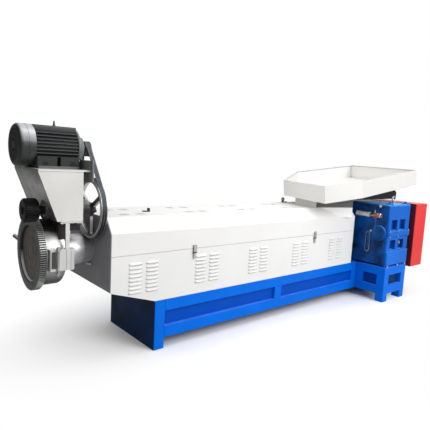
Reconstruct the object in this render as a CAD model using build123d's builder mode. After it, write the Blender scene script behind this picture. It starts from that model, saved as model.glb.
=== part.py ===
from build123d import *
from math import cos, sin, tan, atan, asin, radians, pi, sqrt
import os

# Plastic pelletizing line: a screw extruder on a steel base, with a geared die head at its left
# end, a gearbox at its right end and a feed tray on top.
# Millimetres. +X runs along the machine from the die head to the gearbox, -Y faces the viewer and
# +Z is up. The origin is on the floor under the middle of the left foot, in the barrel's plane.

# Base frame
foot = 100                       # thickness of the end walls that reach the floor
base_left = -foot / 2            # outer face of the left end wall
base_length = 3430
base_width = 770
base_height = 420
rail = 100                       # height of the upper and lower side rails
floor_gap = 92                   # clear height under the lower rail
recess = 28                      # how far the side panels sit behind the rails
base_right = base_left + base_length
half_width = base_width / 2

# Side extension under the gearbox
side_left = base_left + 2930
side_front = -765
leg = 100

# Hood over the barrel
hood_left = base_left - 400
hood_right = base_left + 2800
bays = 5
hood_bay = (hood_right - hood_left) / bays
hood_inset = 1                   # the hood stands this far inside the base's side
hood_half = half_width - hood_inset
seam = 820                       # height of the joint between the lid and the lower casing
shoulder = 990
hood_top = 1105
top_half = 300                   # half width of the hood's flat top
seam_gap = 3
end_plate = 8
end_low = 552                    # bottom of the casing at its overhanging left end

# Louvres in the lower casing
slits = 8
slit_width = 112
slit_height = 9
slit_pitch = 32
slit_depth = 7
slit_low = 515                   # height of the lowest slit
slit_apart = 152                 # spacing of the two columns of one pair

# Die head
die_axis = 826                   # height of the barrel and die gear axis
module = 5
gear_teeth = 108
pinion_teeth = 32
gear_pitch = module * gear_teeth / 2
pinion_pitch = module * pinion_teeth / 2
backlash = 0.9
gear_left = base_left - 864
gear_width = 46
die_face_radius = 204
fit_gap = 0.5                    # clearance between the die gear's bore and the die face
shaft_y = -117                   # the pinion shaft sits this far toward the viewer
shaft_axis = die_axis + sqrt((gear_pitch + pinion_pitch) ** 2 - shaft_y ** 2)
pinion_left = base_left - 938
pinion_width = 98
pinion_bevel = 12                # length of the bevel at each end of its teeth
shaft_radius = 27.5
body_radius = 246
body_left = gear_left + gear_width + 8
body_right = base_left - 660
barrel_radius = 111              # bore of the hood's end plate round the barrel
barrel_gap = 1
collar_radius = 118              # the barrel's thicker end beside the die body
collar_right = base_left - 475

# Belt drive
motor_axis = 1605
big_radius = 234
small_radius = 58.5
grooves = 2
groove_pitch = 19
pulley_left = base_left - 458
pulley_width = 46
belt_top = 17                    # width of one belt on its back
belt_height = 11
belt_play = 0.5                  # clearance between a belt and its groove
big_belt = big_radius - 1        # radius of the belt's back on the large pulley
small_belt = small_radius - 1

# Motor and its pedestal
plate_top = 1450
plate_thick = 12
stand_half = 265
stand_left = base_left - 878
stand_right = base_left - 562
stand_low = 1086
stand_low_left = base_left - 745
sheet = 10
cowl_radius = 152
cowl_left = base_left - 962
cowl_right = base_left - 846
stator_right = base_left - 545
stator_radius = 132

# Gearbox
box_left = side_left
box_right = side_left + 500
box_front = -755
box_back = 290
box_low = 446
box_seam = 820
box_top = 1120
skirt_high = 608                 # top of the lower half's thicker foot band
skirt_reach = 14

# Feed tray, turned and tilted about its low left corner
tray_corner = (base_left + 2200, 262, 1380)
tray_turn = -16.4
tray_rise = 7.6
tray_lean = 1.3
tray_depth = 188
tray_sheet = 4
tray_outline = [(0, 0), (0, -803), (507, -803), (1634, -517), (1634, 670), (660, 670)]
neck_from = (116, -529)
neck_size = (524, 416)

os.makedirs("parts", exist_ok=True)


def save(part, name):
    """Label one finished piece and write it under its node name."""
    part.label = name
    export_step(part, "parts/" + name + ".step")


def across(x):
    """The plane square to the machine's length at x, drawn in (Y, Z)."""
    return Plane(origin=(x, 0, 0), x_dir=(0, 1, 0), z_dir=(1, 0, 0))


def facing(y):
    """The plane parallel to the machine's side at y, drawn in (X, Z), growing toward -Y."""
    return Plane(origin=(0, y, 0), x_dir=(1, 0, 0), z_dir=(0, -1, 0))


def flank(radius, pitch_radius, teeth):
    """Half the angle of a tooth at this radius, for a 20 degree involute less the backlash."""
    base = pitch_radius * cos(radians(20))
    at_pitch = tan(radians(20)) - radians(20)
    slope = sqrt(max((radius / base) ** 2 - 1, 0))
    half = pi / (2 * teeth) - backlash / (4 * pitch_radius)
    return half + at_pitch - (slope - atan(slope))


def tooth_ring(pitch_radius, teeth, centre, first):
    """The closed outline of a spur gear about centre, as (Y, Z) points, with a tooth at the angle first."""
    tip = pitch_radius + module
    root = pitch_radius - 1.25 * module
    half_outline = [(root, -1), (pitch_radius, -1), (tip, -1), (tip, 1), (pitch_radius, 1), (root, 1)]
    points = []
    for tooth in range(teeth):
        middle = first + 2 * pi * tooth / teeth
        for radius, side in half_outline:
            turn = middle + side * flank(radius, pitch_radius, teeth)
            points.append((centre[0] + radius * cos(turn), centre[1] + radius * sin(turn)))
    return points


# Base frame: two closed end walls that stand on the floor carry the side frames between them
def end_wall(left):
    with BuildPart() as wall:
        with BuildSketch(across(left)):
            with Locations((0, base_height / 2)):
                Rectangle(base_width, base_height)
        extrude(amount=foot)
        fillet(wall.edges().filter_by(Axis.Z), 8)
    return wall.part


save(end_wall(base_left), "base_left_end")
save(end_wall(base_right - foot), "base_right_end")


# Each side frame has an upper and a lower rail, end posts and a middle post round sunk panels
def side_frame(outer, inner_sign, left, right, posts):
    """One long side: outer is the face's y and inner_sign points into the machine."""
    depth = 60
    middle = (floor_gap + base_height) / 2
    window_low = floor_gap + rail
    window_high = base_height - rail
    with BuildPart() as side:
        with BuildSketch(facing(outer)):
            with Locations(((left + right) / 2, middle)):
                Rectangle(right - left, base_height - floor_gap)
        extrude(amount=-inner_sign * depth)
        with BuildSketch(facing(outer)):
            for from_x, to_x in posts:
                with Locations(((from_x + to_x) / 2, (window_low + window_high) / 2)):
                    Rectangle(to_x - from_x, window_high - window_low)
        extrude(amount=-inner_sign * recess, mode=Mode.SUBTRACT)
    return side.part


run_left = base_left + foot
run_right = base_right - foot
mid_post = (base_left + 1440, base_left + 1540)
front_windows = [(run_left, mid_post[0]), (mid_post[1], side_left - foot)]
save(side_frame(-half_width, 1, run_left, side_left, front_windows), "base_front_side")
back_windows = [(run_left, mid_post[0]), (mid_post[1], run_right - foot)]
save(side_frame(half_width, -1, run_left, run_right, back_windows), "base_back_side")

# The deck closes the base between the side frames and carries the hood
with BuildPart() as deck:
    with BuildSketch(Plane.XY.offset(base_height)):
        with Locations(((run_left + run_right) / 2, 0)):
            Rectangle(run_right - run_left, base_width - 120)
    extrude(amount=-20)
save(deck.part, "base_deck")

# Side extension: a short frame on two legs that carries the front of the gearbox
with BuildPart() as side_base:
    with BuildSketch(Plane.XY.offset(floor_gap)):
        with Locations(((side_left + base_right) / 2, (side_front - half_width) / 2)):
            Rectangle(base_right - side_left, -half_width - side_front)
    extrude(amount=base_height - floor_gap)
    with BuildSketch(facing(side_front)):
        with Locations(((side_left + base_right) / 2, (floor_gap + base_height) / 2)):
            Rectangle(base_right - side_left - 2 * leg, base_height - floor_gap - 2 * rail)
    extrude(amount=-40, mode=Mode.SUBTRACT)
    with BuildSketch(across(side_left)):
        with Locations(((side_front - half_width) / 2, (floor_gap + base_height) / 2)):
            Rectangle(-half_width - side_front - 2 * leg, base_height - floor_gap - 2 * rail)
    extrude(amount=recess, mode=Mode.SUBTRACT)
    with BuildSketch(Plane.XY):
        for leg_x in (side_left + leg / 2, base_right - leg / 2):
            with Locations((leg_x, side_front + leg / 2)):
                Rectangle(leg, leg)
    extrude(amount=floor_gap)
save(side_base.part, "gearbox_base")

# Hood: the lower casing has a slanted left underside and louvred sides
with BuildPart() as casing:
    with BuildSketch(facing(hood_half)):
        Polygon(
            (hood_left + end_plate, end_low - 8),
            (base_left, base_height),
            (hood_right, base_height),
            (hood_right, seam - seam_gap),
            (hood_left + end_plate, seam - seam_gap),
            align=None,
        )
    extrude(amount=2 * hood_half)
    columns = []
    for bay in range(bays):
        middle = hood_left + (bay + 0.45) * hood_bay
        columns += [middle - slit_apart / 2, middle + slit_apart / 2]
    spots = [(x, slit_low + row * slit_pitch) for x in columns for row in range(slits)]
    for face_y, sign in ((-hood_half, 1), (hood_half, -1)):
        with BuildSketch(facing(face_y)):
            with Locations(*spots):
                Rectangle(slit_width, slit_height)
        extrude(amount=-sign * slit_depth, mode=Mode.SUBTRACT)
save(casing.part, "hood_lower_casing")

# The lid is a long prism with sloped shoulders under a flat top
with BuildPart() as lid:
    with BuildSketch(across(hood_left + end_plate)) as lid_sketch:
        Polygon(
            (-hood_half, seam),
            (hood_half, seam),
            (hood_half, shoulder),
            (top_half, hood_top),
            (-top_half, hood_top),
            (-hood_half, shoulder),
            align=None,
        )
        fillet(lid_sketch.vertices().group_by(Axis.Y)[1], 14)
    extrude(amount=hood_right - hood_left - end_plate)
save(lid.part, "hood_lid")

# The left end plate closes the hood round the barrel
with BuildPart() as end:
    with BuildSketch(across(hood_left)):
        Polygon(
            (-hood_half, end_low),
            (hood_half, end_low),
            (hood_half, shoulder),
            (top_half, hood_top),
            (-top_half, hood_top),
            (-hood_half, shoulder),
            align=None,
        )
        with Locations((0, die_axis)):
            Circle(barrel_radius, mode=Mode.SUBTRACT)
    extrude(amount=end_plate)
save(end.part, "hood_end_plate")


# Toggle latches hold the lid down across the seam
def latch(x):
    with BuildPart() as clasp:
        with BuildSketch(facing(-hood_half)):
            with Locations((x, seam - 45)):
                RectangleRounded(30, 70, 6)
            with Locations((x, seam + 22)):
                RectangleRounded(34, 26, 6)
        extrude(amount=5)
        with BuildSketch(facing(-hood_half - 5)):
            with Locations((x, seam - 30)):
                RectangleRounded(18, 118, 8)
        extrude(amount=9)
        with BuildSketch(facing(-hood_half - 5)):
            with Locations((x, seam + 22)):
                SlotOverall(30, 14)
        extrude(amount=12)
    return clasp.part


latches = Compound(children=[latch(hood_left + bay * hood_bay) for bay in (1.21, 3.80)])
save(latches, "hood_latches")

# A small lug stands on the hood's flat top
with BuildPart() as lug:
    with BuildSketch(Plane.XY.offset(hood_top)):
        with Locations((base_left + 90, -60)):
            RectangleRounded(70, 40, 8)
    extrude(amount=24)
save(lug.part, "hood_lug")

# Barrel: a turned cylinder with a thicker collar next to the die body
with BuildPart() as barrel:
    with BuildSketch(across(body_right)):
        with Locations((0, die_axis)):
            Circle(barrel_radius - barrel_gap)
    extrude(amount=hood_left + end_plate - body_right)
    with BuildSketch(across(body_right)):
        with Locations((0, die_axis)):
            Circle(collar_radius)
    extrude(amount=collar_right - body_right)
    chamfer(barrel.edges().filter_by(GeomType.CIRCLE).group_by(SortBy.RADIUS)[-1].sort_by(Axis.X)[-1], 5)
save(barrel.part, "barrel")

# Die body: a turned drum whose front spigot carries the die gear
with BuildPart() as die_body:
    with BuildSketch(Plane.XZ) as die_profile:
        with BuildLine():
            Polyline(
                (gear_left + 22, die_axis),
                (gear_left + 22, die_axis + die_face_radius - fit_gap),
                (body_left, die_axis + die_face_radius - fit_gap),
                (body_left, die_axis + body_radius),
                (body_right, die_axis + body_radius),
                (body_right, die_axis),
                close=True,
            )
        make_face()
        right_end = die_profile.vertices().group_by(Axis.X)[-1]
        fillet(right_end.sort_by(Axis.Y)[-1], 28)
    revolve(axis=Axis((0, 0, die_axis), (1, 0, 0)))
save(die_body.part, "die_body")

# Die gear: a toothed ring that turns on the die body and drives its screw
# A gear tooth points at the pinion's axis and a pinion gap points back at it, so that they mesh
mesh_angle = pi - atan((shaft_axis - die_axis) / -shaft_y)
pinion_first = mesh_angle + pi + pi / pinion_teeth
with BuildPart() as die_gear:
    with BuildSketch(across(gear_left)):
        Polygon(*tooth_ring(gear_pitch, gear_teeth, (0, die_axis), mesh_angle), align=None)
        with Locations((0, die_axis)):
            Circle(die_face_radius, mode=Mode.SUBTRACT)
    extrude(amount=gear_width)
    chamfer(die_gear.edges().filter_by(GeomType.CIRCLE).sort_by(Axis.X)[0], 8)
save(die_gear.part, "die_gear")

# Pinion: meshes with the die gear from above
drive_line = Axis((0, shaft_y, shaft_axis), (1, 0, 0))
with BuildPart() as pinion:
    with BuildSketch(across(pinion_left)):
        Polygon(*tooth_ring(pinion_pitch, pinion_teeth, (shaft_y, shaft_axis), pinion_first), align=None)
        with Locations((shaft_y, shaft_axis)):
            Circle(shaft_radius, mode=Mode.SUBTRACT)
    extrude(amount=pinion_width)
    with BuildSketch(Plane.XZ.offset(-shaft_y)):
        for end, inward in ((pinion_left, 1), (pinion_left + pinion_width, -1)):
            Polygon(
                (end, shaft_axis + pinion_pitch - 7),
                (end + inward * pinion_bevel, shaft_axis + pinion_pitch + 6),
                (end, shaft_axis + pinion_pitch + 6),
                align=None,
            )
    revolve(axis=drive_line, mode=Mode.SUBTRACT)
save(pinion.part, "pinion")

# Shaft: runs from the pinion through the pedestal to the large pulley
shaft_right = pulley_left + pulley_width + 4
with BuildPart() as shaft:
    with BuildSketch(across(pinion_left - 6)):
        with Locations((shaft_y, shaft_axis)):
            Circle(shaft_radius)
    extrude(amount=shaft_right - pinion_left + 6)
    chamfer(shaft.edges().filter_by(GeomType.CIRCLE), 2)
save(shaft.part, "pinion_shaft")


# Pulleys: turned rims with one V groove for each belt
def groove_profile(outer, inner, middle):
    """The half section of a grooved rim from its inner radius out, as (X, Z) points."""
    half_top = belt_top / 2 + belt_play
    depth = belt_height + 2
    half_low = half_top - depth * tan(radians(18))
    points = [(pulley_left, middle + inner), (pulley_left, middle + outer)]
    for x in belt_places:
        points += [(x - half_top, middle + outer), (x - half_low, middle + outer - depth)]
        points += [(x + half_low, middle + outer - depth), (x + half_top, middle + outer)]
    pulley_right = pulley_left + pulley_width
    return points + [(pulley_right, middle + outer), (pulley_right, middle + inner)]


first_belt = pulley_left + pulley_width / 2 - (grooves - 1) / 2 * groove_pitch
belt_places = [first_belt + number * groove_pitch for number in range(grooves)]
hub_radius = 40
rim_inner = 204
spokes = 3
spoke_width = 34
window_round = 22                # corner radius of the windows between the spokes
web_left = pulley_left + 8
web_thick = 24
with BuildPart() as big_pulley:
    with BuildSketch(Plane.XZ.offset(-shaft_y)):
        Polygon(*groove_profile(big_radius, rim_inner, shaft_axis), align=None)
    revolve(axis=drive_line)
    with BuildSketch(across(pulley_left + 2)):
        with Locations((shaft_y, shaft_axis)):
            Circle(hub_radius)
    extrude(amount=pulley_width - 4)
    with BuildSketch(across(web_left)):
        with Locations((shaft_y, shaft_axis)):
            Circle(rim_inner + 4)
    extrude(amount=web_thick)
    with BuildSketch(across(web_left)) as windows:
        with Locations((shaft_y, shaft_axis)):
            Circle(rim_inner - 6)
            Circle(hub_radius + 6, mode=Mode.SUBTRACT)
            with PolarLocations(0, spokes, start_angle=-90):
                with Locations((rim_inner / 2, 0)):
                    Rectangle(rim_inner + 20, spoke_width, mode=Mode.SUBTRACT)
        fillet(windows.vertices(), window_round)
    extrude(amount=web_thick, mode=Mode.SUBTRACT)
    with BuildSketch(across(pulley_left)):
        with Locations((shaft_y, shaft_axis)):
            Circle(shaft_radius)
    extrude(amount=pulley_width, mode=Mode.SUBTRACT)
save(big_pulley.part, "large_pulley")

with BuildPart() as small_pulley:
    with BuildSketch(Plane.XZ):
        Polygon(*groove_profile(small_radius, 0, motor_axis), align=None)
    revolve(axis=Axis((0, 0, motor_axis), (1, 0, 0)))
    with BuildSketch(across(pulley_left)):
        with Locations((0, motor_axis)):
            Circle(36)
    extrude(amount=stator_right + 66 - pulley_left)
save(small_pulley.part, "motor_pulley")


# Belts: closed V loops round both pulleys
def pair(point):
    """A point of the belt's plane as plain (Y, Z) numbers."""
    return point.X, point.Y


def belt_loop(x):
    """One belt: a V section swept round the two pulleys' circles and their common tangents."""
    small = Vector(0, motor_axis)
    big = Vector(shaft_y, shaft_axis)
    span = small - big
    up = span.normalized()
    out = Vector(-up.Y, up.X)
    lean = asin((big_belt - small_belt) / span.length)
    near = out * cos(lean) + up * sin(lean)
    far = out * -cos(lean) + up * sin(lean)
    narrow = belt_top / 2 - belt_height * tan(radians(18))
    with BuildPart() as loop:
        with BuildLine(across(x)) as route:
            top = [pair(small + way * small_belt) for way in (near, up, far)]
            low = [pair(big + way * big_belt) for way in (far, up * -1, near)]
            Line(low[2], top[0])
            ThreePointArc(*top)
            Line(top[2], low[0])
            ThreePointArc(*low)
        corner = big + near * big_belt
        travel = small + near * small_belt - corner
        start = Plane(origin=(x, corner.X, corner.Y), x_dir=(1, 0, 0), z_dir=(0, travel.X, travel.Y))
        with BuildSketch(start):
            Polygon(
                (-belt_top / 2, 0),
                (belt_top / 2, 0),
                (narrow, belt_height),
                (-narrow, belt_height),
                align=None,
            )
        sweep(path=route.wires()[0])
    return loop.part


belts = Compound(children=[belt_loop(x) for x in belt_places])
save(belts, "v_belts")

# Pedestal: a welded box with a slanted left side that carries the motor over the die head. An apron
# plate on its right end stands between the motor and the belts
bearing_radius = 72
apron_low = 1362
apron_high = 1520
apron_thick = 10
apron_half = 305                 # the apron is wider than the pedestal
apron_notch = 120                # radius of the notch that clears the motor's end bell
with BuildPart() as stand:
    with BuildSketch(facing(stand_half)):
        Polygon(
            (stand_left, plate_top - plate_thick),
            (stand_right, plate_top - plate_thick),
            (stand_right, stand_low),
            (stand_low_left, stand_low),
            align=None,
        )
    extrude(amount=2 * stand_half)
    with BuildSketch(facing(stand_half - sheet)):
        Polygon(
            (stand_left + sheet + 1, plate_top - plate_thick),
            (stand_right - sheet, plate_top - plate_thick),
            (stand_right - sheet, stand_low),
            (stand_low_left + sheet + 1, stand_low),
            align=None,
        )
    extrude(amount=2 * (stand_half - sheet), mode=Mode.SUBTRACT)
    with BuildSketch(Plane.XY.offset(stand_low)):
        with Locations(((stand_low_left + stand_right) / 2 + 8, 0)):
            Rectangle(stand_right - stand_low_left - 26, 2 * stand_half - 2)
    extrude(amount=-14)
    with BuildSketch(across(stand_left - 10)):
        with Locations((shaft_y, shaft_axis)):
            Circle(bearing_radius)
    extrude(amount=stand_right - stand_left + 20, mode=Mode.SUBTRACT)
    with BuildSketch(Plane.XY.offset(plate_top)):
        with Locations(((stand_left + stand_right + 50) / 2, 0)):
            RectangleRounded(stand_right - stand_left + 62, 2 * stand_half + 6, 10)
    extrude(amount=-plate_thick)
    with BuildSketch(across(stand_right + 50)):
        with Locations((0, (apron_low + apron_high) / 2)):
            RectangleRounded(2 * apron_half, apron_high - apron_low, 10)
        with Locations((0, motor_axis)):
            Circle(apron_notch, mode=Mode.SUBTRACT)
    extrude(amount=apron_thick)
save(stand.part, "motor_stand")


# Bearing housings hold the shaft in both sides of the pedestal: round ones with chamfered ends, and
# the right one has a square foot and reaches out to the large pulley
def bearing(left, right, foot_length):
    with BuildPart() as cartridge:
        with BuildSketch(across(left)):
            with Locations((shaft_y, shaft_axis)):
                Circle(bearing_radius - 2)
        extrude(amount=right - left)
        chamfer(cartridge.edges().filter_by(GeomType.CIRCLE), 5)
        if foot_length:
            with BuildSketch(across(right - foot_length)):
                with Locations((shaft_y, shaft_axis - bearing_radius / 2 + 2)):
                    Rectangle(2 * bearing_radius - 12, bearing_radius)
            extrude(amount=foot_length - 4)
        with BuildSketch(across(left)):
            with Locations((shaft_y, shaft_axis)):
                Circle(shaft_radius + 0.5)
        extrude(amount=right - left, mode=Mode.SUBTRACT)
    return cartridge.part


left_bearing = bearing(base_left - 800, base_left - 738, 0)
right_bearing = bearing(stand_right - 22, pulley_left - 12, pulley_left - 12 - stand_right)
save(Compound(children=[left_bearing, right_bearing]), "shaft_bearings")

# A flat strut and a saddle carry the pedestal on the clamp and the die body
clamp_left = base_left - 806
clamp_right = base_left - 632
clamp_low = 742
clamp_high = 894
clamp_face = 296
stand_foot = stand_low - 14
with BuildPart() as strut:
    with BuildSketch(Plane.XY.offset(stand_foot)):
        with Locations((base_left - 680, -clamp_face + 20)):
            Rectangle(30, 12)
    extrude(amount=clamp_high - stand_foot)
save(strut.part, "stand_strut")

saddle_left = base_left - 720
saddle_right = base_left - 562
saddle_height = 62
with BuildPart() as saddle:
    with BuildSketch(facing(-23)):
        Polygon(
            (saddle_left, stand_foot),
            (saddle_right, stand_foot),
            (saddle_right, stand_foot - saddle_height),
            (body_right, stand_foot - saddle_height),
            (body_right, stand_foot - 2 * saddle_height),
            (saddle_left, stand_foot - 2 * saddle_height),
            align=None,
        )
    extrude(amount=190)
    with BuildSketch(across(saddle_left - 1)):
        with Locations((0, die_axis)):
            Circle(body_radius)
    extrude(amount=saddle_right - saddle_left + 2, mode=Mode.SUBTRACT)
save(saddle.part, "stand_saddle")


# Clamp: a block with a slotted lug grips the die body on each side
def clamp(sign, left):
    """One clamp block: sign is -1 for the viewer's side, and left is its left end."""
    with BuildPart() as jaw:
        with BuildSketch(Plane.XY.offset(clamp_low)):
            with Locations(((left + clamp_right) / 2, sign * (clamp_face + 150) / 2)):
                Rectangle(clamp_right - left, clamp_face - 150)
        extrude(amount=clamp_high - clamp_low)
        fillet(jaw.edges().filter_by(Axis.Z), 7)
        with BuildSketch(across(left - 1)):
            with Locations((0, die_axis)):
                Circle(body_radius)
        extrude(amount=clamp_right - left + 2, mode=Mode.SUBTRACT)
        with BuildSketch(facing(sign * (clamp_face + 1))):
            with Locations((left + 44, (clamp_low + clamp_high) / 2)):
                SlotOverall(110, 17, rotation=90)
        extrude(amount=sign * 30, mode=Mode.SUBTRACT)
    return jaw.part


save(clamp(-1, clamp_left), "clamp_front")
save(clamp(1, clamp_left + 34), "clamp_back")


# Swing bolts stand in front of each clamp block's left end, with a nut above and below
def swing_bolt(y):
    with BuildPart() as bolt:
        with BuildSketch(Plane.XY.offset(clamp_low - 34)):
            with Locations((clamp_left + 52, y)):
                Circle(9)
        extrude(amount=clamp_high - clamp_low + 56)
        for low in (clamp_low - 26, clamp_high):
            with BuildSketch(Plane.XY.offset(low)):
                with Locations((clamp_left + 52, y)):
                    RegularPolygon(16, 6)
            extrude(amount=16)
    return bolt.part


bolts = Compound(children=[swing_bolt(sign * (clamp_face + 10)) for sign in (-1, 1)])
save(bolts, "swing_bolts")

# A short bar sticks out from the far side of the die body, behind the gear
with BuildPart() as bar:
    with BuildSketch(Plane.XZ.offset(-body_radius + 14)):
        with Locations((body_left + 16, 850)):
            RectangleRounded(30, 34, 6)
    extrude(amount=-310)
    with BuildSketch(across(body_left - 1)):
        with Locations((0, die_axis)):
            Circle(body_radius)
    extrude(amount=40, mode=Mode.SUBTRACT)
save(bar.part, "die_lever")

# Motor: a finned stator on two feet, a fan cowl at its left end and an end bell at its right
stator_left = cowl_right - 4
fin_reach = 148
foot_block = 136                 # length of each of the motor's feet
with BuildPart() as stator:
    with BuildSketch(across(stator_left)):
        with Locations((0, motor_axis)):
            Circle(stator_radius)
        for step in range(-4, 5):
            drop = step * 24
            with Locations((0, motor_axis + drop)):
                Rectangle(2 * sqrt(fin_reach ** 2 - drop ** 2), 7)
        with Locations((0, motor_axis + 118)):
            Rectangle(150, 60)
        for y in (-56, -28, 28, 56, 0):
            with Locations((y, motor_axis - 118)):
                Rectangle(7, 50)
    extrude(amount=stator_right - stator_left)
    for start in (stator_left + 4, stator_right - 4 - foot_block):
        with BuildSketch(across(start)):
            for sign in (-1, 1):
                with Locations((sign * 128, (plate_top + motor_axis - 70) / 2)):
                    Rectangle(56, motor_axis - 70 - plate_top)
        extrude(amount=foot_block)
    with BuildSketch(Plane.XY.offset(plate_top)):
        for sign in (-1, 1):
            with Locations(((stator_left + stator_right) / 2, sign * 134)):
                RectangleRounded(stator_right - stator_left - 8, 64, 10)
    extrude(amount=18)
save(stator.part, "motor_stator")

with BuildPart() as cowl:
    with BuildSketch(across(cowl_left)):
        with Locations((0, motor_axis)):
            Circle(cowl_radius)
    extrude(amount=cowl_right - cowl_left - 4)
    fillet(cowl.edges().filter_by(GeomType.CIRCLE).sort_by(Axis.X)[0], 30)
    with BuildSketch(Plane.XZ) as bands:
        with Locations((cowl_left + 62, motor_axis + cowl_radius)):
            Rectangle(5, 5)
    revolve(axis=Axis((0, 0, motor_axis), (1, 0, 0)), mode=Mode.SUBTRACT)
save(cowl.part, "motor_fan_cowl")

with BuildPart() as bell:
    with BuildSketch(Plane.XZ):
        with BuildLine():
            Polyline(
                (stator_right, motor_axis),
                (stator_right, motor_axis + 140),
                (stator_right + 14, motor_axis + 140),
                (stator_right + 52, motor_axis + 84),
                (stator_right + 64, motor_axis + 84),
                (stator_right + 64, motor_axis),
                close=True,
            )
        make_face()
    revolve(axis=Axis((0, 0, motor_axis), (1, 0, 0)))
save(bell.part, "motor_end_bell")

eye_x = base_left - 680
with BuildPart() as eye:
    with BuildSketch(Plane.XY.offset(motor_axis + 148)):
        with Locations((eye_x, 0)):
            Circle(10)
    extrude(amount=14)
    with BuildSketch(Plane.XY.offset(motor_axis + 174)):
        with Locations((eye_x + 13, 0)):
            Circle(4.5)
    revolve(axis=Axis((eye_x, 0, motor_axis + 174), (0, 1, 0)))
save(eye.part, "motor_eye_bolt")

# Gearbox: a cast housing in two halves that meet at a thick flange, with sunk windows front and back
box_middle = (box_left + box_right) / 2
window_columns = (box_left + 128, box_left + 322)


def housing(low, high, window_z, window_height):
    with BuildPart() as half:
        with BuildSketch(Plane.XY.offset(low)):
            with Locations((box_middle, (box_front + box_back) / 2)):
                Rectangle(box_right - box_left, box_back - box_front)
        extrude(amount=high - low)
        fillet(half.edges().filter_by(Axis.Z), 16)
        for face_y, sign in ((box_front, 1), (box_back, -1)):
            with BuildSketch(facing(face_y)):
                for x in window_columns:
                    with Locations((x, window_z)):
                        Rectangle(136, window_height)
            extrude(amount=-sign * 46, mode=Mode.SUBTRACT)
    return half.part


save(housing(box_seam + 28, box_top, 922, 124), "gearbox_upper_housing")

# The lower half carries the flange, a thicker band at its foot, the feet on the base and the round
# cap over an input bearing
with BuildPart() as lower_housing:
    add(housing(box_low, box_seam - 28, 684, 116))
    with BuildSketch(Plane.XY.offset(box_seam - 28)):
        with Locations((box_middle, (box_front + box_back) / 2)):
            RectangleRounded(box_right - box_left, box_back - box_front + 36, 18)
    extrude(amount=56)
    with BuildSketch(Plane.XY.offset(box_low)):
        with Locations((box_middle, (box_front + box_back) / 2)):
            RectangleRounded(box_right - box_left, box_back - box_front + 2 * skirt_reach, 18)
    extrude(amount=skirt_high - box_low)
    with BuildSketch(Plane.XY.offset(base_height)):
        for x in (box_left + 70, box_right - 70):
            for y in (box_front + 60, -half_width + 70, box_back - 70):
                with Locations((x, y)):
                    RectangleRounded(110, 90, 10)
    extrude(amount=box_low - base_height)
    with BuildSketch(across(box_left)):
        with Locations((-640, box_seam)):
            Circle(92)
    extrude(amount=-22)
    fillet(lower_housing.edges().filter_by(GeomType.CIRCLE).sort_by(Axis.X)[0], 10)
save(lower_housing.part, "gearbox_lower_housing")

with BuildPart() as cover:
    with BuildSketch(Plane.XY.offset(box_top)):
        with Locations((box_middle, (box_front + box_back) / 2)):
            RectangleRounded(box_right - box_left, box_back - box_front, 16)
    extrude(amount=46)
    fillet(cover.faces().sort_by(Axis.Z)[-1].edges(), 26)
    with BuildSketch(Plane.XY.offset(box_top)):
        for x in (box_left + 62, box_right - 62):
            for y in (box_front + 46, box_back - 46):
                with Locations((x, y)):
                    Circle(40)
    extrude(amount=58)
save(cover.part, "gearbox_cover")

with BuildPart() as output:
    with BuildSketch(across(hood_right)):
        with Locations((0, die_axis)):
            Circle(210)
    extrude(amount=box_left - hood_right)
    chamfer(output.edges().filter_by(GeomType.CIRCLE).sort_by(Axis.X)[0], 10)
save(output.part, "gearbox_output_housing")

hook_z = box_top + 46
with BuildPart() as hook:
    with BuildSketch(Plane.XY.offset(hook_z)):
        with Locations((box_middle + 90, box_front + 150)):
            Circle(18)
    extrude(amount=24)
    with BuildSketch(Plane.XY.offset(hook_z + 50)):
        with Locations((box_middle + 90 + 32, box_front + 150)):
            Circle(8)
    revolve(axis=Axis((box_middle + 90, box_front + 150, hook_z + 50), (0, 1, 0)))
save(hook.part, "gearbox_eye_bolt")

# Oil line on the gearbox's left face: a cooler tube, a valve and a sight loop
oil_x = box_left - 42
oil_z = 1030
with BuildPart() as cooler:
    with BuildSketch(facing(-352)):
        with Locations((oil_x, oil_z)):
            Circle(27)
    extrude(amount=178)
    with BuildSketch(across(box_left)):
        with Locations((-390, oil_z), (-500, oil_z)):
            Rectangle(24, 30)
    extrude(amount=-30)
save(cooler.part, "oil_cooler_tube")

with BuildPart() as valve:
    with BuildSketch(facing(-530)):
        with Locations((oil_x, oil_z)):
            RegularPolygon(20, 6)
    extrude(amount=36)
    with BuildSketch(facing(-566)):
        with Locations((oil_x, oil_z)):
            Circle(24)
    extrude(amount=44)
    with BuildSketch(Plane.XY.offset(oil_z)):
        with Locations((oil_x, -588)):
            Circle(8)
    extrude(amount=62)
save(valve.part, "oil_valve")

with BuildPart() as sight:
    with BuildSketch(across(box_left)):
        with Locations((-510, 700)):
            SlotOverall(250, 66, rotation=90)
            SlotOverall(222, 40, rotation=90, mode=Mode.SUBTRACT)
    extrude(amount=-14)
save(sight.part, "oil_sight_loop")

# Belt guard: a tall closed case on the gearbox's right, held by four arms
guard_left = base_left + 3482
guard_right = base_left + 3772
guard_front = -800
guard_back = 300
guard_low = 380
guard_high = 1166
with BuildPart() as guard:
    with BuildSketch(Plane.XY.offset(guard_low)):
        with Locations(((guard_left + guard_right) / 2, (guard_front + guard_back) / 2)):
            Rectangle(guard_right - guard_left, guard_back - guard_front)
    extrude(amount=guard_high - guard_low)
    fillet(guard.edges().filter_by(Axis.Z), 10)
    with BuildSketch(across(box_right)):
        for y in (-600, 120):
            for z in (520, 1040):
                with Locations((y, z)):
                    Rectangle(60, 80)
    extrude(amount=guard_left - box_right)
save(guard.part, "belt_guard")

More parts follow.
